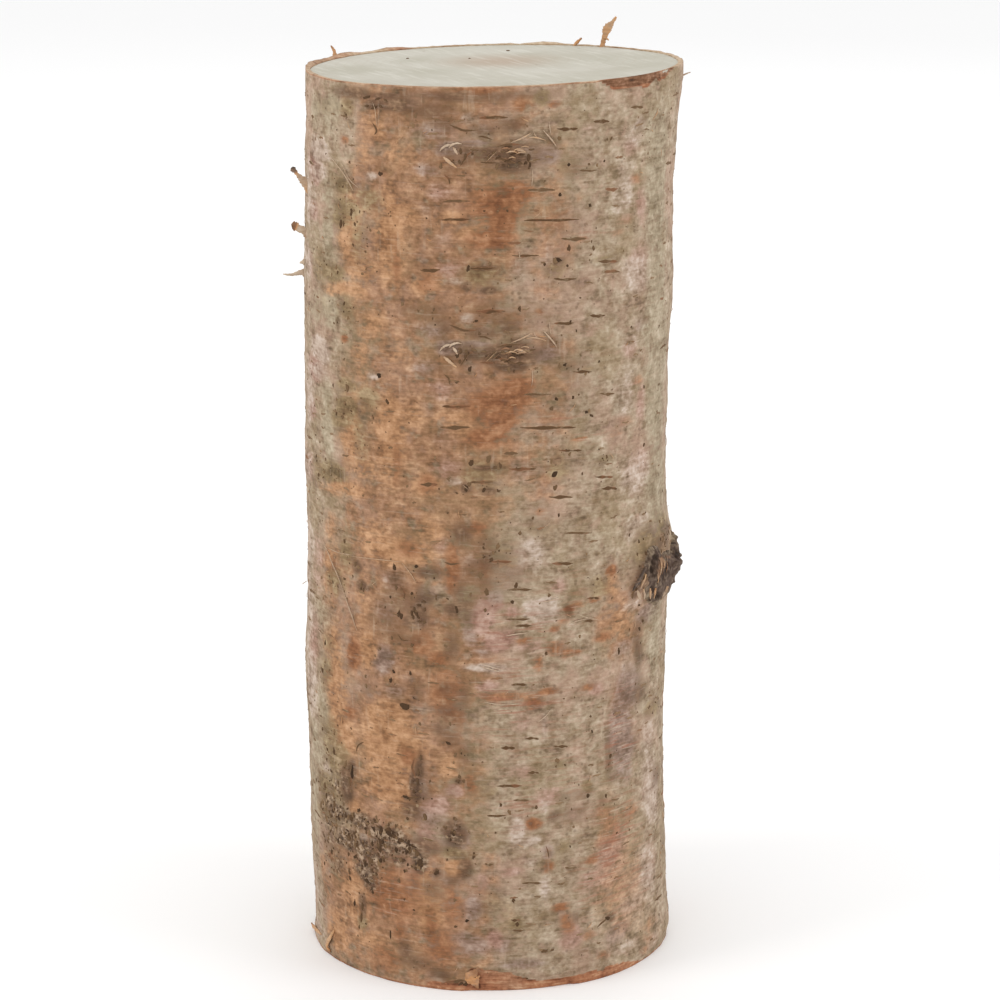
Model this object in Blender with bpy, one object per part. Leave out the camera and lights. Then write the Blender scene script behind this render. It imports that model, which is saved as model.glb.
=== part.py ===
"""Birch log: a short straight length of trunk, sawn across at both ends and standing upright.

Metres, +Z up. The origin is the centre of the sawn foot. The side with the two branch scars faces -Y,
and the stub of a dead branch stands out to the right, near +X.
The log grew as one piece, so it is one solid: the lumps, ridges and torn strips are joined to the
trunk, and the torn places are cut out of it.

A place on the bark is given as degrees round the log, seen from above and counted from +X towards +Y,
and a height above the foot.
"""

import math

import bmesh
import bpy
from mathutils import Euler, Matrix, Vector, noise

# Driving dimensions
LOG_HEIGHT = 0.250
LOG_RADIUS = 0.0508
BARK_THICKNESS = 0.0014
TOP_SLANT = math.radians(1.16)
WOOD_RECESS = 0.0003
AXIS_BOW = 0.0015
OVALITY = 0.0003
OVAL_TURN = math.radians(60)

# Bark that swells or hollows over a large area:
# degrees round, height, reach in degrees, reach in height, rise
SWELLINGS = (
    (0, 0.252, 60, 0.016, 0.0017),
    (0, 0.185, 45, 0.013, 0.0009),
    (0, 0.060, 40, 0.020, -0.0003),
    (0, 0.000, 70, 0.007, 0.0012),
    (180, 0.000, 40, 0.004, 0.0010),
    (180, 0.030, 50, 0.025, 0.0005),
    (180, 0.075, 50, 0.030, 0.0008),
    (180, 0.130, 50, 0.030, -0.0003),
    (-18, 0.112, 34, 0.015, 0.0016),
    (-4, 0.116, 20, 0.006, 0.0012),
    (-90, 0.228, 34, 0.012, 0.0005),
    (-90, 0.175, 34, 0.012, 0.0005),
    (100, 0.150, 60, 0.050, -0.0006),
    (60, 0.060, 40, 0.030, 0.0006),
)

# Unevenness all over the bark
UNEVENNESS = 0.0007
UNEVEN_ROUND = 2.6
UNEVEN_UP = 0.034

# The grid of the trunk's side
SEGMENTS = 96
ROWS = 40
EDGE_ROWS = 3
EDGE_STEP = 0.0013

# Lips where the bark's edge stands above the sawn top: degrees round, reach in degrees, rise
RIM_LIPS = (
    (172, 11, 0.0009),
    (146, 10, 0.0008),
    (125, 6, 0.0006),
    (72, 5, 0.0006),
    (-38, 12, -0.0004),
)

# The branch stub and the bark grown up round it: degrees round, height, how far the middle stands
# out from the bark, the half sizes out, round and up, and how deep the lump crumbles
KNOT_LUMPS = (
    (-19, 0.1102, -0.0041, 0.0056, 0.0150, 0.0098, 0.0004),
    (-11, 0.1108, -0.0025, 0.0056, 0.0086, 0.0072, 0.0018),
    (-30, 0.1150, -0.0064, 0.0080, 0.0075, 0.0078, 0.0005),
    (-6, 0.1160, -0.0023, 0.0034, 0.0040, 0.0034, 0.0009),
    (-24, 0.1058, -0.0034, 0.0048, 0.0080, 0.0042, 0.0012),
)
KNOT_SEGMENTS = 18
KNOT_RINGS = 12

# The crease under the grown-up bark, from its upper end to its lower one: degrees round, height
KNOT_CREASE = ((-30, 0.1130), (-36, 0.1095), (-43, 0.1050))
CREASE_RADIUS = 0.0011

# Branch scars: an arched ridge of bark each, in degrees round and height above the scar's middle
SCAR_MIDDLES = ((-89, 0.2310), (-89, 0.1782))
SCAR_ARCH = ((-17, -0.0012), (-10, 0.0012), (-2, 0.0034), (7, 0.0030), (16, 0.0006))
SCAR_RADIUS = 0.0024
SCAR_DEPTH = 0.0014

# Torn places, cut out of the trunk's edge: degrees round where they start and end, how far below the
# sawn top or above the foot, radius of the cut
TORN_TOP = (-58, -18, 0.0002, 0.0021)
TORN_FOOT = (-97, -62, 0.0012, 0.0024)
TEAR_POINTS = 7
TEAR_OUT = 0.0010

# Strips of bark torn loose: an outline each, drawn in a plane that stands upright. Across runs away
# from the trunk and up is the height above the strip's root, both in millimetres.
STRIPS = {
    "side_strip_upper": {
        "degrees": -168,
        "height": 0.2165,
        "swing": 180,
        "thickness": 0.0011,
        "outline": (
            (-2.0, -2.6),
            (0.6, -1.8),
            (1.6, 0.4),
            (3.4, 3.0),
            (4.9, 4.2),
            (4.7, 5.6),
            (3.0, 4.9),
            (0.8, 3.4),
            (-2.0, 2.2),
        ),
    },
    "side_strip_middle": {
        "degrees": -171,
        "height": 0.2040,
        "swing": 180,
        "thickness": 0.0013,
        "outline": (
            (-2.0, -2.8),
            (0.4, -3.2),
            (1.2, -1.2),
            (4.0, -0.2),
            (4.6, 1.6),
            (3.4, 2.8),
            (1.2, 1.8),
            (-2.0, 3.0),
        ),
    },
    "side_strip_lower": {
        "degrees": 178,
        "height": 0.1936,
        "swing": 180,
        "thickness": 0.0009,
        "outline": (
            (-2.0, -1.4),
            (1.4, -0.5),
            (4.2, -0.2),
            (6.2, -0.7),
            (6.2, 0.1),
            (3.4, 1.2),
            (1.0, 2.0),
            (-2.0, 1.6),
        ),
    },
    "rim_strip_right": {
        "degrees": 51,
        "height": 0.2500,
        "swing": 0,
        "thickness": 0.0009,
        "outline": (
            (-1.5, -2.2),
            (0.8, -2.2),
            (1.3, 1.2),
            (2.5, 3.4),
            (3.0, 5.2),
            (3.7, 7.2),
            (3.1, 8.0),
            (1.6, 6.4),
            (0.2, 4.6),
            (-0.2, 2.4),
            (-1.2, 0.4),
        ),
    },
    "rim_strip_left": {
        "degrees": 147,
        "height": 0.2490,
        "swing": 180,
        "thickness": 0.0009,
        "outline": (
            (-1.2, -2.0),
            (1.0, -2.0),
            (1.2, 0.8),
            (1.7, 2.4),
            (1.5, 3.0),
            (0.8, 2.2),
            (-0.1, 0.8),
        ),
    },
    "rim_splinter": {
        "degrees": 61,
        "height": 0.2500,
        "swing": 0,
        "thickness": 0.0008,
        "outline": ((-1.2, -1.6), (1.0, -1.6), (1.2, 0.6), (2.2, 1.7), (1.2, 1.5), (-0.4, 0.5)),
    },
}

MILLIMETRE = 0.001
BARK_COLOUR = (0.36, 0.25, 0.165, 1.0)
WOOD_COLOUR = (0.62, 0.59, 0.50, 1.0)
BARK_ROUGHNESS = 0.85
WOOD_ROUGHNESS = 0.75
SHARP_EDGE = math.radians(40)


def clear_scene():
    for obj in list(bpy.data.objects):
        bpy.data.objects.remove(obj, do_unlink=True)


def collection(name):
    made = bpy.data.collections.new(name)
    bpy.context.scene.collection.children.link(made)
    return made


def material(name, colour, roughness):
    made = bpy.data.materials.new(name)
    made.use_nodes = True
    shader = made.node_tree.nodes["Principled BSDF"]
    shader.inputs["Base Color"].default_value = colour
    shader.inputs["Roughness"].default_value = roughness
    shader.inputs["Metallic"].default_value = 0.0
    made.diffuse_color = colour
    return made


def turn_between(degrees, other):
    """The smaller angle between two directions round the log, in degrees."""
    return (degrees - other + 180) % 360 - 180


def bump(distance):
    """A smooth hump, 1 in the middle and nearly 0 at two reaches from it."""
    return math.exp(-distance * distance)


def axis_at(height):
    """Where the trunk's axis is at a height: it bows towards -X halfway up."""
    return -AXIS_BOW * math.sin(math.pi * height / LOG_HEIGHT)


def bark_radius(degrees, height):
    """The distance of the bark from the trunk's axis."""
    angle = math.radians(degrees)
    radius = LOG_RADIUS + OVALITY * math.cos(2 * (angle - OVAL_TURN))
    for middle, middle_height, reach, reach_up, rise in SWELLINGS:
        round_it = turn_between(degrees, middle) / reach
        up_it = (height - middle_height) / reach_up
        radius += rise * bump(math.hypot(round_it, up_it))
    place = Vector((math.cos(angle), math.sin(angle), 0)) * UNEVEN_ROUND
    place.z = height / UNEVEN_UP
    return radius + UNEVENNESS * noise.noise(place)


def on_bark(degrees, height, out=0.0):
    """The point at this place on the bark, or this far outside it."""
    angle = math.radians(degrees)
    distance = bark_radius(degrees, height) + out
    return Vector((axis_at(height) + distance * math.cos(angle), distance * math.sin(angle), height))


def sawn_top(x):
    """The height of the sawn top, which slants up towards +X."""
    return LOG_HEIGHT + x * math.tan(TOP_SLANT)


def row_height(row):
    """The height of a row of the grid on a straight log, with close rows at both sawn edges."""
    if row <= EDGE_ROWS:
        return row * EDGE_STEP
    if row >= ROWS - EDGE_ROWS:
        return LOG_HEIGHT - (ROWS - row) * EDGE_STEP
    inner_rows = ROWS - 2 * EDGE_ROWS
    inner_height = LOG_HEIGHT - 2 * EDGE_ROWS * EDGE_STEP
    return EDGE_ROWS * EDGE_STEP + inner_height * (row - EDGE_ROWS) / inner_rows


def lip(degrees):
    return sum(rise * bump(turn_between(degrees, middle) / reach) for middle, reach, rise in RIM_LIPS)


def shape_side(mesh):
    """Moves every vertex of the straight cylinder onto the bark and the slanted top."""
    for vertex in mesh.verts:
        row = round((vertex.co.z / LOG_HEIGHT + 0.5) * ROWS)
        height = row_height(row)
        degrees = math.degrees(math.atan2(vertex.co.y, vertex.co.x))
        vertex.co = on_bark(degrees, height)
        vertex.co.z = height / LOG_HEIGHT * sawn_top(vertex.co.x)


def shape_top(mesh):
    """Sinks the sawn wood inside a ring of bark, and raises the lips of that ring."""
    top = max(mesh.faces, key=lambda face: face.calc_center_median().z if len(face.verts) > 4 else 0)
    rim = list(top.verts)
    bmesh.ops.inset_region(mesh, faces=[top], thickness=BARK_THICKNESS, depth=-WOOD_RECESS)
    for vertex in rim:
        vertex.co.z += lip(math.degrees(math.atan2(vertex.co.y, vertex.co.x)))


def make_trunk(parts, bark, wood):
    mesh = bmesh.new()
    bmesh.ops.create_cone(
        mesh,
        cap_ends=True,
        cap_tris=False,
        segments=SEGMENTS,
        radius1=LOG_RADIUS,
        radius2=LOG_RADIUS,
        depth=LOG_HEIGHT,
    )
    upright = [edge for edge in mesh.edges if abs(edge.verts[0].co.z - edge.verts[1].co.z) > LOG_HEIGHT / 2]
    bmesh.ops.subdivide_edges(mesh, edges=upright, cuts=ROWS - 1, use_grid_fill=True)
    shape_side(mesh)
    shape_top(mesh)
    for face in mesh.faces:
        face.material_index = 1 if len(face.verts) > 4 else 0
    bmesh.ops.recalc_face_normals(mesh, faces=mesh.faces)
    data = bpy.data.meshes.new("log")
    mesh.to_mesh(data)
    mesh.free()
    log = bpy.data.objects.new("log", data)
    parts.objects.link(log)
    data.materials.append(bark)
    data.materials.append(wood)
    return log


def add_helper(name, data, helpers, bark):
    """An object that a Boolean joins to the trunk or cuts from it."""
    helper = bpy.data.objects.new(name, data)
    helper.hide_render = True
    helper.display_type = "WIRE"
    data.materials.clear()
    data.materials.append(bark)
    helpers.objects.link(helper)
    return helper


def as_mesh(curve_object):
    """The mesh of a curve object, closed at its caps, in world space."""
    graph = bpy.context.evaluated_depsgraph_get()
    graph.update()
    data = bpy.data.meshes.new_from_object(curve_object.evaluated_get(graph))
    mesh = bmesh.new()
    mesh.from_mesh(data)
    bmesh.ops.remove_doubles(mesh, verts=mesh.verts, dist=0.00001)
    bmesh.ops.recalc_face_normals(mesh, faces=mesh.faces)
    bmesh.ops.transform(mesh, matrix=curve_object.matrix_world, verts=mesh.verts)
    mesh.to_mesh(data)
    mesh.free()
    curve = curve_object.data
    bpy.data.objects.remove(curve_object, do_unlink=True)
    bpy.data.curves.remove(curve)
    return data


def tapered_tube(name, points, radius, helpers, bark):
    """A round tube through the points that narrows to a quarter at both ends."""
    curve = bpy.data.curves.new(name, "CURVE")
    curve.dimensions = "3D"
    curve.bevel_depth = radius
    curve.bevel_resolution = 2
    curve.resolution_u = 3
    curve.use_fill_caps = True
    spline = curve.splines.new("BEZIER")
    spline.bezier_points.add(len(points) - 1)
    for index, point in enumerate(points):
        knot = spline.bezier_points[index]
        knot.co = point
        knot.handle_left_type = "AUTO"
        knot.handle_right_type = "AUTO"
        along = index / (len(points) - 1)
        knot.radius = 0.25 + 0.75 * math.sin(math.pi * along)
    tube = bpy.data.objects.new(name, curve)
    bpy.context.scene.collection.objects.link(tube)
    return add_helper(name, as_mesh(tube), helpers, bark)


def knot_lump(index, lump, helpers, bark):
    """One crumbling lump: a squashed sphere, set out from the bark."""
    degrees, height, out, half_out, half_round, half_up, crumble = lump
    mesh = bmesh.new()
    bmesh.ops.create_uvsphere(mesh, u_segments=KNOT_SEGMENTS, v_segments=KNOT_RINGS, radius=1.0)
    facing = Matrix.Rotation(math.radians(degrees), 4, "Z")
    for vertex in mesh.verts:
        direction = vertex.co.copy()
        place = Vector((direction.x * half_out, direction.y * half_round, direction.z * half_up))
        place += direction * crumble * noise.noise(direction * 2.3 + Vector((3.1 * index, 0.7, 1.9)))
        vertex.co = on_bark(degrees, height, out) + facing @ place
    data = bpy.data.meshes.new(f"knot_lump_{index}")
    mesh.to_mesh(data)
    mesh.free()
    return add_helper(f"knot_lump_{index}", data, helpers, bark)


def knot_crease(helpers, bark):
    points = [on_bark(degrees, height, CREASE_RADIUS) for degrees, height in KNOT_CREASE]
    return tapered_tube("knot_crease", points, 1.6 * CREASE_RADIUS, helpers, bark)


def scar_ridge(index, middle, helpers, bark):
    degrees, height = middle
    points = [on_bark(degrees + turn, height + up, -SCAR_DEPTH) for turn, up in SCAR_ARCH]
    return tapered_tube(f"scar_ridge_{index}", points, SCAR_RADIUS, helpers, bark)


def tear(name, start, end, radius, edge_height, helpers, bark):
    """A cutter that follows the log's edge and takes a groove of bark off it."""
    points = []
    for step in range(TEAR_POINTS):
        degrees = start + (end - start) * step / (TEAR_POINTS - 1)
        point = on_bark(degrees, edge_height, TEAR_OUT)
        if edge_height > LOG_HEIGHT / 2:
            point.z += sawn_top(point.x) - LOG_HEIGHT
        points.append(point)
    return tapered_tube(name, points, radius, helpers, bark)


def torn_strip(name, strip, helpers, bark):
    """A loose strip: a flat outline with a thickness, standing in a plane through its root."""
    curve = bpy.data.curves.new(name, "CURVE")
    curve.dimensions = "2D"
    curve.fill_mode = "BOTH"
    curve.extrude = strip["thickness"] / 2
    spline = curve.splines.new("POLY")
    spline.points.add(len(strip["outline"]) - 1)
    for point, (across, up) in zip(spline.points, strip["outline"]):
        point.co = (across * MILLIMETRE, up * MILLIMETRE, 0, 1)
    spline.use_cyclic_u = True
    flat = bpy.data.objects.new(name, curve)
    root = on_bark(strip["degrees"], min(strip["height"], LOG_HEIGHT), -0.0006)
    root.z = strip["height"]
    flat.location = root
    flat.rotation_euler = Euler((math.pi / 2, 0, math.radians(strip["swing"])))
    bpy.context.scene.collection.objects.link(flat)
    return add_helper(name, as_mesh(flat), helpers, bark)


def combine(log, helper, operation):
    modifier = log.modifiers.new(f"{operation.lower()}_{helper.name}", "BOOLEAN")
    modifier.operation = operation
    modifier.object = helper
    modifier.solver = "EXACT"


def build():
    clear_scene()
    parts = collection("birch_log")
    helpers = collection("birch_log_helpers")
    bark = material("bark", BARK_COLOUR, BARK_ROUGHNESS)
    wood = material("cut_wood", WOOD_COLOUR, WOOD_ROUGHNESS)
    log = make_trunk(parts, bark, wood)

    cut = []
    start, end, below, radius = TORN_TOP
    cut.append(tear("torn_top", start, end, radius, LOG_HEIGHT - below, helpers, bark))
    start, end, above, radius = TORN_FOOT
    cut.append(tear("torn_foot", start, end, radius, above, helpers, bark))

    joined = [knot_lump(index, lump, helpers, bark) for index, lump in enumerate(KNOT_LUMPS)]
    joined += [scar_ridge(index, middle, helpers, bark) for index, middle in enumerate(SCAR_MIDDLES)]
    joined += [torn_strip(name, strip, helpers, bark) for name, strip in STRIPS.items()]

    for helper in cut:
        combine(log, helper, "DIFFERENCE")
    for helper in joined:
        combine(log, helper, "UNION")
    combine(log, knot_crease(helpers, bark), "DIFFERENCE")

    log.data.shade_smooth()
    log.data.set_sharp_from_angle(angle=SHARP_EDGE)


build()
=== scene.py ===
"""The looks of the birch log: bark, long pores, branch stub, torn strips, sawn wood, light and camera.

Metres, +Z up. The origin is the centre of the sawn foot and the photo's side faces -Y.
A place on the bark is given as degrees round the log, seen from above and counted from +X towards +Y,
and a height above the foot. A place read from the photo is given as a column and a row of its
1000 by 1000 pixels, and is carried onto the trunk along the camera's line of sight.
"""

import math
import random
from functools import partial

import bpy
import numpy as np
from mathutils import Matrix, Vector, noise
from mathutils.bvhtree import BVHTree


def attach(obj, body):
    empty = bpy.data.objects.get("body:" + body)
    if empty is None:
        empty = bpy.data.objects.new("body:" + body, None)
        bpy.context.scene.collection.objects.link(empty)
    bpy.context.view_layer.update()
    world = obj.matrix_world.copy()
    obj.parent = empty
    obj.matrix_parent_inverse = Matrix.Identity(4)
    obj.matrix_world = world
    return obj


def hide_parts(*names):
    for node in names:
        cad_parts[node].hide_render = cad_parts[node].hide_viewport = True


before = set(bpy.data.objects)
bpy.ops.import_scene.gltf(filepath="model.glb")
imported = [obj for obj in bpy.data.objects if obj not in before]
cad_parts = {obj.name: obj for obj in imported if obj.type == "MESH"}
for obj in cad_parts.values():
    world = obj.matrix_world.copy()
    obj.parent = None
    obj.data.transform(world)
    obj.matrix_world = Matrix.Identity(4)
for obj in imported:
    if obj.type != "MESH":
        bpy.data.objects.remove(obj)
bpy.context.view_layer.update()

# The trunk, with the same values as the solid
LOG_HEIGHT = 0.250
LOG_RADIUS = 0.0508
BARK_THICKNESS = 0.0014
TOP_SLANT = math.radians(1.16)
WOOD_RECESS = 0.0003
AXIS_BOW = 0.0015
OVALITY = 0.0003
OVAL_TURN = math.radians(60)
UNEVENNESS = 0.0007
UNEVEN_ROUND = 2.6
UNEVEN_UP = 0.034

# Degrees round, height, reach in degrees, reach in height, rise
SWELLINGS = (
    (0, 0.252, 60, 0.016, 0.0017), (0, 0.185, 45, 0.013, 0.0009), (0, 0.06, 40, 0.02, -0.0003),
    (0, 0, 70, 0.007, 0.0012), (180, 0, 40, 0.004, 0.001), (180, 0.03, 50, 0.025, 0.0005),
    (180, 0.075, 50, 0.03, 0.0008), (180, 0.13, 50, 0.03, -0.0003), (-18, 0.112, 34, 0.015, 0.0016),
    (-4, 0.116, 20, 0.006, 0.0012), (-90, 0.228, 34, 0.012, 0.0005), (-90, 0.175, 34, 0.012, 0.0005),
    (100, 0.15, 60, 0.05, -0.0006), (60, 0.06, 40, 0.03, 0.0006),
)

# Degrees round, reach in degrees, rise
RIM_LIPS = ((172, 11, 0.0009), (146, 10, 0.0008), (125, 6, 0.0006), (72, 5, 0.0006), (-38, 12, -0.0004))

# Degrees round, height, how far the middle stands out from the bark, half sizes out, round and up,
# and how deep the lump crumbles
KNOT_LUMPS = (
    (-19, 0.1102, -0.0041, 0.0056, 0.015, 0.0098, 0.0004),
    (-11, 0.1108, -0.0025, 0.0056, 0.0086, 0.0072, 0.0018),
    (-30, 0.115, -0.0064, 0.008, 0.0075, 0.0078, 0.0005),
    (-6, 0.116, -0.0023, 0.0034, 0.004, 0.0034, 0.0009),
    (-24, 0.1058, -0.0034, 0.0048, 0.008, 0.0042, 0.0012),
)

# Branch scars: the middles, and the arch of the ridge in degrees and height from there
SCAR_MIDDLES = ((-89, 0.2310), (-89, 0.1782))
SCAR_ARCH = ((-17, -0.0012), (-10, 0.0012), (-2, 0.0034), (7, 0.003), (16, 0.0006))
SCAR_REACH = 0.0024
SCAR_RISE = 0.0010

# The ridge loses this share of its rise by this many degrees from its middle, and its crest is flat
# for this share of its reach
SCAR_TAPER = 0.75
SCAR_HALF = 17
SCAR_CREST = 0.2

# Bands of inner bark along the foot and the rim: degrees round where each starts and ends, how tall
# it is, and for the foot's edge how tall it is elsewhere
FOOT_EDGE = (-86, -30, 0.0028, 0.0002)
FOOT_CORNER = (-112, -93, 0.0019)
RIM_LINE = (-184, -18, 0.0001)

# Torn edges: how tall and how deep they are, the height from which they have their full depth, and
# the share of the height that they take up along the log, by degrees round
TORN_TOP_TALL = 0.0034
TORN_TOP_DEEP = 0.0012
TORN_FOOT_TALL = 0.0062
TORN_FOOT_DEEP = 0.0009
TORN_FULL = 0.0010
TORN_TOP_SHAPE = (
    (-58, 0), (-53, 0.5), (-50, 0.85), (-46, 0.95), (-42, 1), (-38, 0.95), (-34, 0.95), (-28, 0.75),
    (-22, 0.45), (-15, 0),
)
TORN_FOOT_SHAPE = ((-99, 1.16), (-84, 0.9), (-77, 0.46), (-62, 0.36))

# Where the foot is worn away at the right: degrees where that starts and ends, height and depth
FOOT_WEAR = (-42, 26, 0.0048, 0.0011)

# Swellings of the bark round the branch stub: degrees, height, half sizes round and up, rise
KNOT_COLLAR = ((-33, 0.115, 0.006, 0.007, 0.0019), (-22, 0.1215, 0.0075, 0.0034, 0.0006))

# The photo's camera, the direction that it sees in the middle, how far a pixel reaches on the bark
# there, and how often a line of sight is carried on to the uneven trunk
PHOTO_SIDE = 1000
CAMERA_PLACE = Vector((0.0024, -0.9629, 0.3606))
CAMERA_PITCH = math.radians(13.62)
FOCAL_LENGTH_PIXELS = 3515
SENSOR_MM = 36
FRONT = -90.0
PHOTO_PIXEL = LOG_HEIGHT / 905
SIGHT_STEPS = 4

# Noise: how its octaves weaken, how much finer each is, and how far apart two seeds lie
OCTAVE_FALL = 0.9
OCTAVE_STEP = 2.1
SEED_SHIFT = 7.31


# The trunk's shape


def turn_between(degrees, other):
    """The smaller angle between two directions round the log, in degrees."""
    return (degrees - other + 180) % 360 - 180


def axis_at(height):
    """Where the trunk's axis is at a height: it bows towards -X halfway up."""
    return -AXIS_BOW * np.sin(np.pi * height / LOG_HEIGHT)


def trunk_radius(degrees, height):
    """The distance of the smooth trunk from its axis, for one place."""
    angle = math.radians(degrees)
    radius = LOG_RADIUS + OVALITY * math.cos(2 * (angle - OVAL_TURN))
    for middle, middle_height, reach, reach_up, rise in SWELLINGS:
        round_it = turn_between(degrees, middle) / reach
        up_it = (height - middle_height) / reach_up
        radius += rise * math.exp(-round_it * round_it - up_it * up_it)
    place = Vector((math.cos(angle), math.sin(angle), 0)) * UNEVEN_ROUND
    place.z = height / UNEVEN_UP
    return radius + UNEVENNESS * noise.noise(place)


def sawn_top(x):
    """The height of the sawn top, which slants up towards +X."""
    return LOG_HEIGHT + x * math.tan(TOP_SLANT)


def lip(degrees):
    """How far the bark's edge stands above the sawn top."""
    total = np.zeros_like(degrees)
    for middle, reach, rise in RIM_LIPS:
        total += rise * np.exp(-((turn_between(degrees, middle) / reach) ** 2))
    return total


# The photo's lines of sight


def photo_direction(column, row):
    """The direction of the photo's line of sight through a pixel."""
    right = (column - PHOTO_SIDE / 2) / FOCAL_LENGTH_PIXELS
    up = (PHOTO_SIDE / 2 - row) / FOCAL_LENGTH_PIXELS
    cosine, sine = math.cos(CAMERA_PITCH), math.sin(CAMERA_PITCH)
    return Vector((right, cosine + up * sine, up * cosine - sine)).normalized()


def on_photo(column, row):
    """The place on the trunk that the photo shows here, as degrees round and a height."""
    direction = photo_direction(column, row)
    radius = LOG_RADIUS
    degrees, height = FRONT, LOG_HEIGHT / 2
    for _ in range(SIGHT_STEPS):
        start = CAMERA_PLACE - Vector((axis_at(height), 0, 0))
        a = direction.x**2 + direction.y**2
        b = start.x * direction.x + start.y * direction.y
        c = start.x**2 + start.y**2 - radius**2
        far = (-b - math.sqrt(max(b * b - a * c, 0))) / a
        hit = start + far * direction
        degrees, height = math.degrees(math.atan2(hit.y, hit.x)), hit.z
        radius = trunk_radius(degrees, height)
    return degrees, height


def beside_photo(column, row, depth):
    """The point that the photo shows here if it lies this far along Y."""
    direction = photo_direction(column, row)
    return CAMERA_PLACE + direction * ((depth - CAMERA_PLACE.y) / direction.y)


# Fields over the bark


def noise_field(degrees, height, length_round, length_up, seed, octaves=3):
    """Noise from about -1 to 1 whose spots have these lengths round the log and up it."""
    angle = np.radians(degrees)
    reach = LOG_RADIUS / length_round
    points = np.stack([reach * np.cos(angle), reach * np.sin(angle), height / length_up], axis=-1)
    flat = (points + SEED_SHIFT * seed).reshape(-1, 3)
    values = [noise.fractal(point, OCTAVE_FALL, OCTAVE_STEP, octaves) for point in flat]
    return np.array(values).reshape(degrees.shape)


def smooth_step(value, low, high):
    """0 up to the low value, 1 from the high one on, with a soft rise between them."""
    along = np.clip((value - low) / (high - low), 0, 1)
    return along * along * (3 - 2 * along)


def smooth_fall(value, low, high):
    return 1 - smooth_step(value, low, high)


def arc_gap(degrees, middle):
    """The distance along the bark between two directions, in metres."""
    return np.radians(turn_between(degrees, middle)) * LOG_RADIUS


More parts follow.
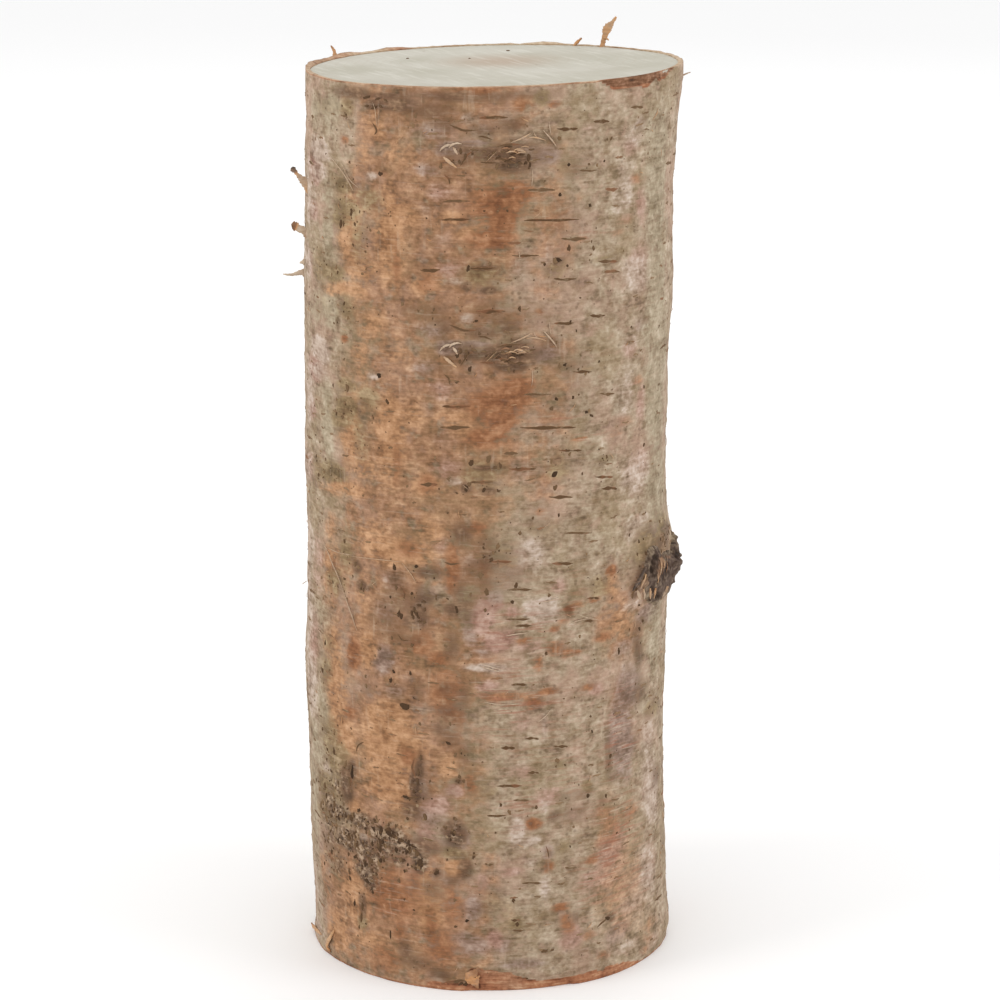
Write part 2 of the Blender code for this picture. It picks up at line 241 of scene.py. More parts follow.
# Where the bark's looks differ: column, row, half width and half height in the photo's pixels, and
# strength. The photo shows the bark between rows 100 and 340 a second time, 200 rows lower.
PHOTO_REPEAT = 200
REPEATED_ZONES = {
    "tan": (
        (425, 190, 92, 50, 1), (430, 252, 88, 50, 1), (418, 305, 84, 40, 1), (500, 185, 34, 46, 0.9),
        (470, 300, 34, 30, 0.5), (352, 235, 16, 76, 0.6), (548, 215, 38, 125, 0.48),
        (505, 122, 32, 18, 0.6), (380, 128, 30, 22, 0.7),
    ),
    "gold": (
        (390, 236, 15, 50, 0.8), (350, 232, 13, 50, 0.6), (412, 214, 18, 16, 0.5), (425, 285, 16, 12, 0.6),
        (345, 286, 22, 8, 0.7), (396, 150, 18, 18, 0.4), (362, 150, 12, 26, 0.4), (445, 160, 10, 5, 0.6),
        (330, 288, 14, 6, 0.5), (374, 122, 14, 18, 0.5), (366, 268, 14, 14, 0.6), (455, 218, 20, 10, 0.5),
        (470, 232, 18, 8, 0.5),
    ),
    "orange": (
        (503, 221, 15, 14, 1), (492, 207, 28, 22, 0.75), (514, 196, 20, 18, 0.75), (520, 214, 12, 10, 0.45),
        (533, 200, 14, 14, 0.25), (490, 238, 22, 12, 0.8), (428, 283, 12, 12, 0.5), (396, 262, 5, 26, 0.5),
        (344, 137, 4, 5, 0.7), (637, 182, 8, 6, 0.42), (624, 222, 11, 8, 0.42), (616, 235, 9, 5, 0.32),
        (580, 240, 8, 2, 0.7), (540, 312, 5, 4, 0.5),
    ),
    "rust": (
        (548, 222, 28, 4, 0.8), (590, 238, 16, 8, 0.5),
    ),
    "pink": (
        (314, 165, 8, 16, 0.8), (312, 205, 6, 12, 0.7), (630, 150, 8, 10, 0.5), (641, 205, 6, 22, 0.5),
        (450, 270, 20, 14, 0.4), (440, 190, 16, 12, 0.4), (640, 265, 16, 22, 0.5), (590, 130, 12, 10, 0.3),
        (310, 260, 5, 16, 0.5),
    ),
    "violet": (
        (425, 168, 13, 9, 0.45), (424, 208, 13, 9, 0.35), (440, 238, 14, 9, 0.25), (446, 148, 14, 7, 0.9),
        (474, 143, 20, 3, 0.8), (530, 149, 14, 5, 0.4), (548, 156, 16, 10, 0.6), (430, 130, 20, 9, 0.5),
        (642, 126, 9, 10, 0.4), (520, 270, 14, 16, 0.3),
    ),
    "pale": (
        (319, 147, 9, 13, 1), (318, 168, 9, 9, 0.6), (467, 118, 8, 7, 0.5), (450, 145, 9, 5, 0.42),
        (372, 174, 6, 4, 0.6), (636, 276, 16, 22, 0.5), (455, 282, 10, 5, 0.4), (549, 255, 4, 22, 0.3),
        (624, 195, 14, 34, 0.4), (632, 140, 12, 12, 0.35), (309, 190, 7, 40, 0.5), (307, 256, 6, 22, 0.5),
    ),
    "green": (
        (330, 108, 10, 18, 1), (316, 105, 7, 20, 0.5), (328, 232, 6, 30, 0.8), (327, 190, 6, 18, 0.6),
        (657, 190, 11, 90, 0.8), (657, 290, 11, 60, 0.8), (650, 130, 9, 30, 0.5), (344, 225, 8, 40, 0.35),
        (616, 205, 8, 18, 0.4), (600, 265, 20, 14, 0.3),
    ),
    "olive": (
        (346, 206, 12, 11, 1), (352, 212, 16, 22, 0.35), (340, 217, 9, 10, 0.8), (332, 270, 13, 9, 1),
        (318, 264, 7, 18, 0.5), (345, 183, 11, 9, 0.7), (368, 196, 14, 14, 0.5), (360, 235, 10, 30, 0.4),
        (346, 106, 8, 14, 0.6), (322, 102, 18, 14, 0.28), (565, 168, 10, 8, 0.4), (588, 171, 9, 4, 0.5),
        (604, 260, 12, 4, 0.5), (482, 276, 24, 16, 0.5), (558, 270, 12, 14, 0.5),
    ),
    # The dark zones round the two branch scars are partly their dark bark and partly painted shadow under
    # their flaps and ridges.
    "dark": (
        (425, 112, 30, 10, 0.4), (440, 122, 18, 8, 0.4), (512, 165, 17, 8, 1), (500, 150, 16, 7, 0.8),
        (530, 156, 18, 12, 0.5), (490, 153, 12, 10, 0.7), (520, 146, 18, 5, 0.6), (556, 143, 10, 8, 0.4),
        (466, 158, 8, 10, 0.5), (486, 268, 16, 3, 0.7), (466, 288, 5, 5, 1), (488, 291, 9, 4, 0.9),
        (558, 262, 4, 4, 0.9), (448, 128, 12, 5, 0.4), (345, 262, 10, 8, 0.3), (575, 172, 22, 18, 0.35),
        (506, 126, 18, 10, 0.5), (484, 132, 24, 9, 0.5), (478, 154, 16, 8, 0.6), (516, 162, 24, 13, 0.9),
        (540, 318, 22, 16, 0.25), (510, 141, 14, 5, 0.5), (440, 138, 10, 4, 0.4), (512, 169, 20, 9, 0.45),
        (500, 157, 11, 8, 0.9), (445, 168, 14, 8, 0.3), (468, 166, 12, 7, 0.25), (538, 154, 14, 10, 0.3),
        (470, 152, 9, 7, 0.8), (508, 163, 26, 7, 0.6), (458, 150, 5, 5, 0.5), (572, 200, 32, 110, 0.17),
        (453, 157, 16, 9, 0.4), (437, 160, 10, 8, 0.25), (462, 146, 20, 6, 0.5), (450, 147, 12, 6, 0.25),
    ),
}

PHOTO_ZONES = {
    "tan": (
        (430, 105, 94, 34, 0.9), (515, 105, 26, 18, 0.7), (395, 540, 72, 60, 1), (385, 600, 60, 60, 0.9),
        (408, 655, 84, 70, 1), (400, 745, 76, 66, 1), (465, 790, 26, 120, 0.5), (385, 800, 60, 40, 0.8),
        (380, 850, 66, 30, 0.8), (415, 925, 80, 66, 1), (345, 900, 36, 66, 0.9), (470, 555, 26, 46, 0.7),
        (625, 620, 30, 46, 0.7), (612, 590, 18, 26, 0.5), (610, 850, 24, 70, 0.5), (650, 930, 16, 24, 0.4),
        (490, 880, 14, 60, 0.4), (332, 600, 16, 90, 0.62), (332, 700, 14, 50, 0.6), (622, 715, 14, 50, 0.6),
        (470, 575, 24, 44, 0.7), (395, 505, 50, 20, 0.8),
    ),
    "gold": (
        (395, 550, 40, 14, 0.8), (372, 530, 20, 14, 0.5), (368, 650, 9, 22, 0.8), (336, 690, 12, 50, 0.7),
        (390, 745, 32, 28, 1), (388, 716, 26, 14, 0.9), (344, 735, 10, 24, 0.9), (388, 780, 26, 22, 1),
        (448, 768, 11, 14, 0.6), (430, 530, 14, 20, 0.5), (362, 600, 8, 40, 0.4), (352, 804, 7, 7, 0.9),
        (354, 894, 16, 32, 0.65), (338, 930, 12, 20, 0.7), (430, 905, 13, 36, 0.8), (455, 868, 13, 9, 1),
        (370, 940, 20, 16, 0.5), (620, 620, 20, 22, 0.45), (612, 588, 10, 12, 0.5), (645, 602, 12, 8, 0.3),
        (625, 890, 34, 60, 0.35), (650, 925, 10, 12, 0.2), (331, 560, 8, 40, 0.5), (334, 640, 9, 30, 0.5),
    ),
    "orange": (
        (476, 89, 24, 5, 0.9), (521, 104, 6, 7, 0.8), (552, 105, 8, 4, 0.6), (354, 652, 7, 18, 1),
        (452, 570, 8, 26, 0.8), (475, 528, 14, 8, 0.5), (484, 570, 8, 12, 0.5), (420, 645, 16, 12, 0.7),
        (440, 660, 16, 10, 0.6), (446, 692, 18, 28, 0.6), (455, 716, 14, 12, 0.6), (350, 712, 8, 8, 0.6),
        (408, 756, 8, 9, 0.6), (410, 548, 18, 10, 0.5), (556, 649, 13, 8, 0.52), (566, 653, 9, 7, 0.52),
        (577, 653, 6, 3, 0.7), (569, 609, 6, 4, 0.75), (577, 605, 8, 4, 0.42), (555, 629, 6, 4, 0.6),
        (564, 622, 8, 4, 0.38), (570, 615, 6, 4, 0.35), (611, 572, 6, 6, 0.9), (532, 702, 12, 8, 0.6),
        (505, 697, 26, 6, 0.55), (548, 692, 14, 4, 0.6), (588, 688, 9, 5, 0.5), (524, 641, 9, 5, 0.6),
        (604, 638, 12, 5, 0.6), (595, 600, 6, 4, 0.7), (538, 664, 6, 10, 0.5), (500, 699, 20, 3, 0.6),
        (637, 519, 4, 5, 0.45), (392, 895, 30, 24, 0.7), (440, 945, 22, 22, 0.5), (384, 958, 20, 14, 0.5),
        (470, 785, 8, 12, 0.5), (332, 856, 4, 4, 1), (452, 905, 12, 26, 0.5), (534, 824, 9, 6, 0.9),
        (628, 812, 13, 16, 0.4), (610, 832, 14, 22, 0.35), (562, 908, 11, 5, 0.65), (566, 922, 9, 14, 0.5),
        (588, 934, 9, 8, 0.45), (548, 866, 7, 8, 0.6), (592, 860, 8, 6, 0.5), (604, 955, 8, 6, 0.45),
        (645, 950, 6, 6, 0.35), (480, 890, 8, 10, 0.4), (400, 925, 8, 30, 0.5), (432, 935, 7, 30, 0.6),
        (415, 890, 9, 24, 0.5),
    ),
    "rust": (
        (616, 845, 22, 56, 1), (620, 735, 15, 44, 0.9), (590, 885, 16, 30, 0.6), (505, 700, 32, 40, 0.8),
        (545, 700, 26, 16, 0.6), (520, 640, 40, 30, 0.7), (560, 600, 30, 30, 0.4), (560, 760, 60, 60, 0.3),
        (625, 880, 34, 40, 0.5), (520, 795, 24, 40, 0.6), (495, 625, 22, 20, 0.6), (400, 890, 40, 40, 0.3),
    ),
    "pink": (
        (482, 616, 10, 18, 1), (492, 603, 10, 9, 0.9), (500, 640, 18, 12, 0.9), (488, 686, 14, 7, 0.7),
        (510, 612, 10, 10, 0.6), (560, 586, 10, 8, 0.6), (530, 647, 16, 9, 0.5), (440, 545, 9, 12, 0.4),
        (596, 690, 10, 8, 0.5), (522, 722, 12, 12, 0.4), (524, 772, 20, 9, 0.4), (548, 796, 16, 12, 0.5),
        (440, 806, 20, 12, 0.6), (456, 791, 10, 7, 0.7), (428, 836, 14, 14, 0.5), (600, 880, 30, 20, 0.4),
        (613, 852, 18, 28, 0.5), (570, 936, 14, 13, 0.6), (512, 871, 14, 6, 0.5), (495, 938, 8, 10, 0.7),
        (482, 884, 8, 12, 0.5), (318, 560, 8, 40, 0.4), (314, 640, 6, 40, 0.5), (628, 908, 22, 12, 0.26),
    ),
    "violet": (
        (384, 659, 12, 13, 0.9), (392, 580, 14, 12, 0.4), (385, 610, 14, 16, 0.4), (470, 560, 12, 14, 0.3),
        (470, 630, 9, 20, 0.5), (482, 652, 12, 6, 0.5), (650, 611, 12, 12, 0.8), (622, 650, 10, 10, 0.4),
        (628, 690, 14, 24, 0.7), (622, 735, 13, 44, 0.9), (420, 786, 10, 12, 0.6), (430, 816, 20, 14, 0.6),
        (456, 838, 15, 14, 0.7), (470, 945, 18, 14, 0.6), (472, 910, 12, 16, 0.6), (500, 945, 14, 12, 0.5),
        (618, 932, 12, 14, 0.7), (548, 851, 7, 9, 0.6), (522, 964, 22, 6, 0.6), (395, 690, 12, 10, 0.4),
        (658, 538, 14, 18, 0.9), (640, 562, 10, 14, 0.45), (646, 556, 9, 11, 0.4),
    ),
    "pale": (
        (545, 602, 8, 6, 0.8), (541, 612, 19, 15, 0.7), (530, 552, 18, 20, 0.5), (495, 597, 8, 6, 0.7),
        (489, 668, 22, 4, 0.9), (545, 725, 4, 14, 0.5), (648, 742, 9, 28, 0.4), (650, 790, 9, 40, 0.6),
        (648, 870, 10, 30, 0.5), (517, 832, 8, 14, 0.7), (532, 841, 12, 5, 0.7), (545, 805, 6, 10, 0.4),
        (530, 862, 10, 6, 0.4), (545, 890, 5, 14, 0.5), (327, 771, 4, 10, 1), (363, 837, 5, 4, 0.9),
        (318, 925, 7, 9, 0.6), (317, 882, 6, 36, 0.3), (309, 600, 6, 60, 0.5), (311, 680, 7, 34, 0.6),
        (309, 540, 6, 30, 0.5), (632, 903, 20, 11, 0.32), (624, 948, 16, 8, 0.34), (655, 938, 8, 10, 0.3),
        (632, 890, 26, 44, 0.2), (638, 524, 15, 10, 0.45), (630, 536, 10, 9, 0.35), (634, 606, 12, 7, 0.45),
    ),
    "green": (
        (654, 640, 8, 44, 0.6), (600, 545, 22, 14, 0.3), (648, 702, 10, 12, 0.4), (324, 702, 8, 22, 0.5),
        (317, 745, 7, 34, 0.5), (315, 800, 6, 50, 0.5), (652, 512, 12, 12, 0.4), (325, 612, 12, 18, 0.4),
    ),
    "olive": (
        (334, 858, 14, 24, 0.3), (350, 836, 22, 16, 0.4), (648, 552, 16, 24, 0.8), (662, 534, 12, 20, 0.7),
        (654, 708, 10, 12, 0.5), (601, 588, 12, 15, 0.5), (540, 530, 26, 10, 0.3), (500, 552, 22, 20, 0.4),
        (336, 582, 12, 14, 0.6), (346, 552, 9, 16, 0.6), (328, 640, 8, 12, 0.4), (325, 668, 7, 18, 0.5),
        (328, 736, 12, 24, 0.6), (336, 758, 12, 20, 0.8), (328, 788, 12, 18, 0.9), (338, 775, 14, 26, 0.5),
        (326, 812, 12, 14, 0.8), (455, 853, 13, 7, 0.7), (362, 921, 5, 8, 0.7), (541, 98, 9, 8, 0.8),
        (587, 787, 6, 6, 0.8), (562, 847, 8, 6, 0.6), (517, 926, 7, 8, 0.8), (495, 905, 18, 20, 0.3),
        (560, 766, 8, 7, 0.5), (486, 790, 12, 8, 0.4),
    ),
    # Dark bark and stains; the dark zones round the branch stub, between its collar and the bark and along
    # the crease below it, are partly painted shade.
    "dark": (
        (384, 94, 18, 3, 0.8), (372, 103, 10, 5, 1), (398, 104, 26, 8, 0.8), (463, 92, 9, 3, 0.6),
        (418, 614, 11, 12, 1), (424, 600, 12, 14, 0.6), (430, 573, 16, 8, 0.6), (452, 610, 10, 8, 0.7),
        (452, 648, 10, 20, 0.5), (398, 602, 22, 20, 0.4), (408, 640, 20, 9, 0.4), (446, 688, 12, 12, 0.4),
        (418, 690, 9, 14, 0.28), (464, 700, 10, 20, 0.4), (440, 730, 12, 10, 0.45), (357, 566, 5, 8, 0.8),
        (361, 585, 5, 6, 0.9), (462, 536, 12, 16, 0.5), (484, 546, 14, 10, 0.4), (420, 766, 5, 14, 0.9),
        (428, 790, 7, 14, 0.35), (450, 790, 12, 14, 0.3), (466, 755, 10, 18, 0.35), (330, 835, 11, 18, 0.4),
        (326, 812, 10, 14, 0.35), (576, 916, 3, 9, 0.5), (662, 544, 7, 8, 0.8), (656, 540, 6, 6, 0.4),
        (548, 852, 4, 6, 0.5), (368, 689, 7, 14, 0.3), (346, 668, 6, 9, 0.35), (638, 645, 6, 26, 0.5),
        (639, 690, 8, 18, 0.5), (608, 750, 4, 36, 0.45), (346, 785, 7, 19, 0.8), (352, 770, 4, 10, 0.9),
        (338, 812, 18, 6, 0.8), (416, 784, 6, 16, 0.9), (412, 810, 9, 12, 0.7), (388, 834, 14, 8, 0.8),
        (455, 834, 12, 14, 0.8), (420, 863, 7, 10, 1), (437, 873, 4, 5, 0.8), (466, 870, 8, 12, 0.7),
        (366, 875, 12, 14, 0.6), (362, 904, 4, 13, 0.8), (405, 955, 9, 14, 0.6), (438, 974, 12, 8, 0.6),
        (575, 813, 13, 9, 0.4), (555, 816, 8, 7, 0.5), (602, 800, 7, 10, 0.3), (545, 950, 10, 8, 0.3),
        (495, 892, 12, 12, 0.25), (610, 918, 6, 5, 0.7), (612, 778, 5, 6, 0.5), (646, 562, 9, 18, 0.5),
        (634, 588, 5, 8, 0.8), (655, 596, 14, 5, 0.6), (666, 532, 9, 10, 0.5), (458, 781, 6, 4, 0.7),
        (488, 560, 14, 26, 0.5), (464, 602, 14, 24, 0.5), (414, 622, 14, 10, 0.7), (662, 543, 12, 14, 0.6),
        (640, 577, 6, 14, 1), (652, 566, 6, 14, 0.8), (634, 592, 4, 9, 0.9), (654, 547, 12, 12, 0.4),
        (350, 90, 22, 7, 0.7), (450, 725, 18, 28, 0.4), (575, 795, 24, 7, 0.35), (425, 845, 22, 12, 0.5),
        (434, 890, 14, 14, 0.5), (452, 880, 12, 8, 0.4), (415, 962, 18, 10, 0.5), (656, 775, 6, 18, 0.4),
        (408, 106, 60, 9, 0.4), (450, 96, 100, 6, 0.5), (365, 850, 50, 18, 0.45), (395, 625, 44, 24, 0.3),
        (490, 575, 36, 34, 0.38), (495, 315, 40, 22, 0.35),
    ),
    "grime": (
        (338, 812, 16, 8, 0.8), (362, 822, 18, 10, 0.8), (386, 834, 20, 11, 1), (336, 786, 14, 28, 0.45),
        (400, 862, 16, 10, 0.4), (404, 846, 14, 10, 0.9), (420, 860, 9, 12, 0.9), (372, 850, 20, 14, 0.9),
        (368, 874, 15, 18, 0.75), (346, 838, 18, 16, 0.75), (394, 856, 14, 12, 0.7),
        (334, 810, 12, 20, 0.6), (338, 862, 14, 16, 0.4), (455, 838, 13, 16, 0.4), (328, 826, 8, 20, 0.5),
        (412, 795, 8, 22, 0.3),
    ),
}

# The same on the sides and the back, which the photo doesn't show: how many of each, and their
# half widths and half heights in metres
BACK_ZONES = {
    "tan": (14, 0.012, 0.03, 0.016, 0.046),
    "gold": (9, 0.006, 0.014, 0.008, 0.026),
    "orange": (18, 0.003, 0.011, 0.002, 0.009),
    "rust": (10, 0.008, 0.018, 0.006, 0.026),
    "pink": (14, 0.005, 0.014, 0.004, 0.018),
    "violet": (10, 0.004, 0.012, 0.003, 0.01),
    "pale": (12, 0.003, 0.009, 0.004, 0.014),
    "green": (12, 0.004, 0.012, 0.008, 0.026),
    "olive": (14, 0.004, 0.012, 0.005, 0.018),
    "dark": (14, 0.004, 0.012, 0.003, 0.01),
    "grime": (4, 0.004, 0.01, 0.004, 0.012),
}
BACK_ZONE_PARTS = 5
HIDDEN_FROM = 14
HIDDEN_TO = 166

# How far noise bends a zone's edge, the half size from which it does so in full, and how the zone
# fades from its middle to its edge
ZONE_WARP = 0.0016
ZONE_WARP_FINE = 0.0006
ZONE_SMALL = 0.005
ZONE_FADE = 0.9
ZONE_EDGE = 1.3


def again(places):
    """The same places where the photo shows them a second time. Each starts with a column and a row."""
    return tuple((place[0], place[1] + PHOTO_REPEAT, *place[2:]) for place in places)


def photo_zones(kind):
    """The zones of the photo's side, as degrees, height, half width and half height in metres."""
    found = []
    repeated = REPEATED_ZONES.get(kind, ())
    shown = PHOTO_ZONES[kind] + repeated + again(repeated)
    for column, row, half_width, half_height, strength in shown:
        degrees, height = on_photo(column, row)
        edge_degrees, _ = on_photo(column + math.copysign(half_width, PHOTO_SIDE / 2 - column), row)
        _, edge_height = on_photo(column, row + math.copysign(half_height, PHOTO_SIDE / 2 - row))
        half_round = abs(math.radians(turn_between(edge_degrees, degrees))) * LOG_RADIUS
        found.append((degrees, height, half_round, abs(edge_height - height), strength))
    return found


def back_zones(kind, draw):
    """Zones strewn over the sides and the back, with the same look as those of the photo."""
    count, least_width, most_width, least_height, most_height = BACK_ZONES[kind]
    found = []
    for _ in range(count):
        degrees = draw.uniform(HIDDEN_FROM, HIDDEN_TO)
        height = draw.uniform(0, LOG_HEIGHT)
        half_round = draw.uniform(least_width, most_width)
        half_up = draw.uniform(least_height, most_height)
        strength = draw.uniform(0.35, 0.9)
        for _ in range(BACK_ZONE_PARTS):
            part_degrees = degrees + draw.uniform(-0.9, 0.9) * math.degrees(half_round / LOG_RADIUS)
            part_height = height + draw.uniform(-0.9, 0.9) * half_up
            part_round = half_round * draw.uniform(0.25, 0.75)
            part_up = half_up * draw.uniform(0.2, 0.65)
            part_strength = strength * draw.uniform(0.5, 1)
            found.append((part_degrees, part_height, part_round, part_up, part_strength))
    return found


def zone_masks(degrees, height):
    """How strongly each kind of zone shows at each place, from 0 to 1."""
    draw = random.Random(11)
    warp_round = ZONE_WARP * noise_field(degrees, height, 0.012, 0.008, 1)
    warp_up = ZONE_WARP * noise_field(degrees, height, 0.012, 0.008, 2)
    warp_round += ZONE_WARP_FINE * noise_field(degrees, height, 0.004, 0.002, 3)
    warp_up += ZONE_WARP_FINE * noise_field(degrees, height, 0.004, 0.002, 4)
    masks = {}
    for kind in PHOTO_ZONES:
        mask = np.zeros_like(degrees)
        zones = photo_zones(kind) + back_zones(kind, draw)
        for middle, middle_height, half_round, half_up, strength in zones:
            shrink_round, shrink_up = min(1.0, half_round / ZONE_SMALL), min(1.0, half_up / ZONE_SMALL)
            across = (arc_gap(degrees, middle) + shrink_round * warp_round) / half_round
            along = (height - middle_height + shrink_up * warp_up) / half_up
            inside = np.exp(-ZONE_FADE * (across * across + along * along) ** ZONE_EDGE)
            mask = np.maximum(mask, strength * inside)
        masks[kind] = mask
    return masks


# The bark's relief
UNDULATION = 0.00032
DIMPLES = 0.00010
WRINKLE = 0.00008
PEEL_DEPTH = 0.00016
CRUST_RISE = 0.00035


def scar_ridge(degrees, height):
    """The rise of the arched ridges over the two branch scars."""
    rise = np.zeros_like(degrees)
    for middle, middle_height in SCAR_MIDDLES:
        for start, end in zip(SCAR_ARCH, SCAR_ARCH[1:]):
            start_across = math.radians(start[0]) * LOG_RADIUS
            end_across = math.radians(end[0]) * LOG_RADIUS
            span = np.array([end_across - start_across, end[1] - start[1]])
            across = arc_gap(degrees, middle) - start_across
            along = height - middle_height - start[1]
            share = np.clip((across * span[0] + along * span[1]) / span.dot(span), 0, 1)
            gap = np.hypot(across - share * span[0], along - share * span[1])
            from_middle = np.abs(start_across + share * span[0])
            taper = 1 - SCAR_TAPER * from_middle / (math.radians(SCAR_HALF) * LOG_RADIUS)
            rise = np.maximum(rise, SCAR_RISE * taper * smooth_fall(gap, SCAR_CREST * SCAR_REACH, SCAR_REACH))
    return rise


def between(degrees, start, end, soft):
    """1 well inside a stretch round the log, 0 outside it."""
    middle, half = (start + end) / 2, (end - start) / 2
    return smooth_fall(np.abs(turn_between(degrees, middle)), half - soft, half)


def torn_tall(degrees, tall, shape):
    """How tall a torn edge is in each direction."""
    around, shares = zip(*shape)
    return tall * np.interp(turn_between(degrees, 0), around, shares, left=0, right=0)


def torn_depth(degrees, height):
    """How deep the outer bark is torn away at the top edge and at the foot."""
    ragged = noise_field(degrees, height, 0.0045, 0.02, 21)
    tall = torn_tall(degrees, TORN_TOP_TALL, TORN_TOP_SHAPE)
    past = LOG_HEIGHT - height - tall * (1 + 0.4 * ragged)
    top = TORN_TOP_DEEP * smooth_step(tall, 0, TORN_FULL) * smooth_fall(past, -0.0006, 0.0002)
    tall = torn_tall(degrees, TORN_FOOT_TALL, TORN_FOOT_SHAPE)
    inside = between(degrees, TORN_FOOT_SHAPE[0][0], TORN_FOOT_SHAPE[-1][0], 3)
    past = height - tall * (inside + 0.12 * ragged)
    foot = TORN_FOOT_DEEP * inside * smooth_fall(past, -0.0007, 0.0002)
    return foot * (height < LOG_HEIGHT / 2) + top * (height > LOG_HEIGHT / 2)


def edge_band(degrees, height):
    """1 in the narrow band of inner bark along the foot and the front of the rim, 0 away from it."""
    ragged = noise_field(degrees, height, 0.003, 0.004, 22)
    start, end, tall, least = FOOT_EDGE
    width = least + (tall - least) * between(degrees, start, end, 20)
    foot = smooth_fall(height - width * (1 + 0.5 * ragged), -0.0003, 0.0003)
    start, end, tall = FOOT_CORNER
    corner = smooth_fall(height - tall * (1 + 0.4 * ragged), -0.0003, 0.0003)
    corner *= between(degrees, start, end, 3)
    start, end, tall = RIM_LINE
    rim = smooth_fall(LOG_HEIGHT - height - tall * (1 + 0.5 * ragged), -0.0002, 0.0003)
    rim *= between(degrees, start, end, 10)
    return np.maximum(np.maximum(foot, corner), rim)


def bark_relief(degrees, height, masks):
    """How far the bark stands out from the smooth trunk."""
    relief = UNDULATION * noise_field(degrees, height, 0.020, 0.011, 5)
    relief += DIMPLES * noise_field(degrees, height, 0.0042, 0.0030, 10, octaves=2)
    relief += WRINKLE * noise_field(degrees, height, 0.010, 0.0019, 6, octaves=2)
    layers = masks["tan"] + 0.35 * noise_field(degrees, height, 0.010, 0.004, 7)
    relief -= PEEL_DEPTH * smooth_step(layers, 0.45, 0.60)
    crust = np.abs(noise_field(degrees, height, 0.0022, 0.0018, 8, octaves=2))
    relief += CRUST_RISE * masks["dark"] * crust
    relief += scar_ridge(degrees, height) * (1 + 0.4 * noise_field(degrees, height, 0.004, 0.0016, 9))
    for middle, middle_height, half_round, half_up, rise in KNOT_COLLAR:
        across = arc_gap(degrees, middle) / half_round
        up = (height - middle_height) / half_up
        relief += rise * np.exp(-(across * across) - up * up)
    start, end, tall, deep = FOOT_WEAR
    relief -= deep * between(degrees, start, end, 18) * smooth_fall(height, 0, tall)
    return relief


# The bark as one closed skin. Its columns run round the log and its rows up it.
COLUMNS = 240
ROWS = 396
RIM_RINGS = (0.12, 0.45, 0.75, 1.0)

# How pale bare inner bark is: 1 is pale, 0 brown and below that dark. For the rim, RIM_SHADES gives
# the degrees where a stretch starts and ends; TORN_TOP_SHADE is for the torn place and its fringe
RIM_SHADE = 0.85
RIM_SHADES = ((-176, -60, 0.7), (-34, 110, 1), (112, 132, 0.35), (134, 186, 0.6), (-58, -22, -0.7))
RIM_LINE_SHADE = 0.40
TORN_TOP_SHADE = (-0.9, 0.10)
FOOT_SHADE = 0.20

# How ragged the rim is, and how deep the skin's flat caps lie under the wood
RIM_RAGGED = 0.0002
CAP_DEPTH = 0.0008

# The map of the skin: its margin, the least that a ring takes up of it, counted in metres, and where
# the middles of the two caps lie
MAP_MARGIN = 0.03
LEAST_MAP_STEP = 0.0004
CAP_ROWS = (0.01, 0.99)


class Bark:
    """The finished bark's surface, kept as a grid so that the small pieces can sit on it."""

    def __init__(self):
        rows = np.linspace(0, LOG_HEIGHT, ROWS + 1)
        columns = np.arange(COLUMNS) * 360 / COLUMNS
        self.degrees, self.height = np.meshgrid(columns, rows)
        smooth = [trunk_radius(d, h) for d, h in zip(self.degrees.ravel(), self.height.ravel())]
        self.masks = zone_masks(self.degrees, self.height)
        self.torn = torn_depth(self.degrees, self.height)
        self.edge = edge_band(self.degrees, self.height)
        relief = bark_relief(self.degrees, self.height, self.masks)
        self.smooth = np.array(smooth).reshape(self.degrees.shape)
        self.radius = self.smooth + relief - self.torn

    def look_up(self, grid, degrees, height):
        """The grid's value between its own places."""
        column = (degrees % 360) / 360 * COLUMNS
        row = min(max(height / LOG_HEIGHT * ROWS, 0), ROWS - 1e-6)
        left, low = int(column), int(row)
        across, up = column - left, row - low
        left %= COLUMNS
        right = (left + 1) % COLUMNS
        lower = grid[low, left] * (1 - across) + grid[low, right] * across
        upper = grid[low + 1, left] * (1 - across) + grid[low + 1, right] * across
        return lower * (1 - up) + upper * up

    def point(self, degrees, height, out=0.0):
        """The point at this place on the bark, or this far outside it."""
        angle = math.radians(degrees)
        distance = self.look_up(self.radius, degrees, height) + out
        x = axis_at(height) + distance * math.cos(angle)
        y = distance * math.sin(angle)
        return Vector((x, y, height / LOG_HEIGHT * sawn_top(x)))


def ring_points(degrees, distance, height, slanted):
    """A ring of points round the axis; a slanted ring follows the sawn top."""
    angle = np.radians(degrees)
    x = axis_at(height) + distance * np.cos(angle)
    y = distance * np.sin(angle)
    z = height / LOG_HEIGHT * (LOG_HEIGHT + x * math.tan(TOP_SLANT)) if slanted else height
    return np.stack([x, y, np.broadcast_to(z, x.shape)], axis=-1)


def stacked_rings_mesh(name, rings, first_cap, last_cap):
    """A closed mesh through a stack of equal rings, with a point in the middle of each end."""
    count, columns = len(rings), len(rings[0])
    points = np.concatenate([*rings, first_cap[None], last_cap[None]])
    first, last = count * columns, count * columns + 1
    column = np.arange(columns)
    following = (column + 1) % columns
    faces = []
    for row in range(count - 1):
        low, high = row * columns, (row + 1) * columns
        quads = np.stack([low + column, low + following, high + following, high + column], axis=-1)
        faces += quads.tolist()
    top = (count - 1) * columns
    faces += np.stack([following, column, np.full(columns, first)], axis=-1).tolist()
    faces += np.stack([top + column, top + following, np.full(columns, last)], axis=-1).tolist()
    mesh = bpy.data.meshes.new(name)
    mesh.from_pydata(points.tolist(), [], faces)
    return mesh


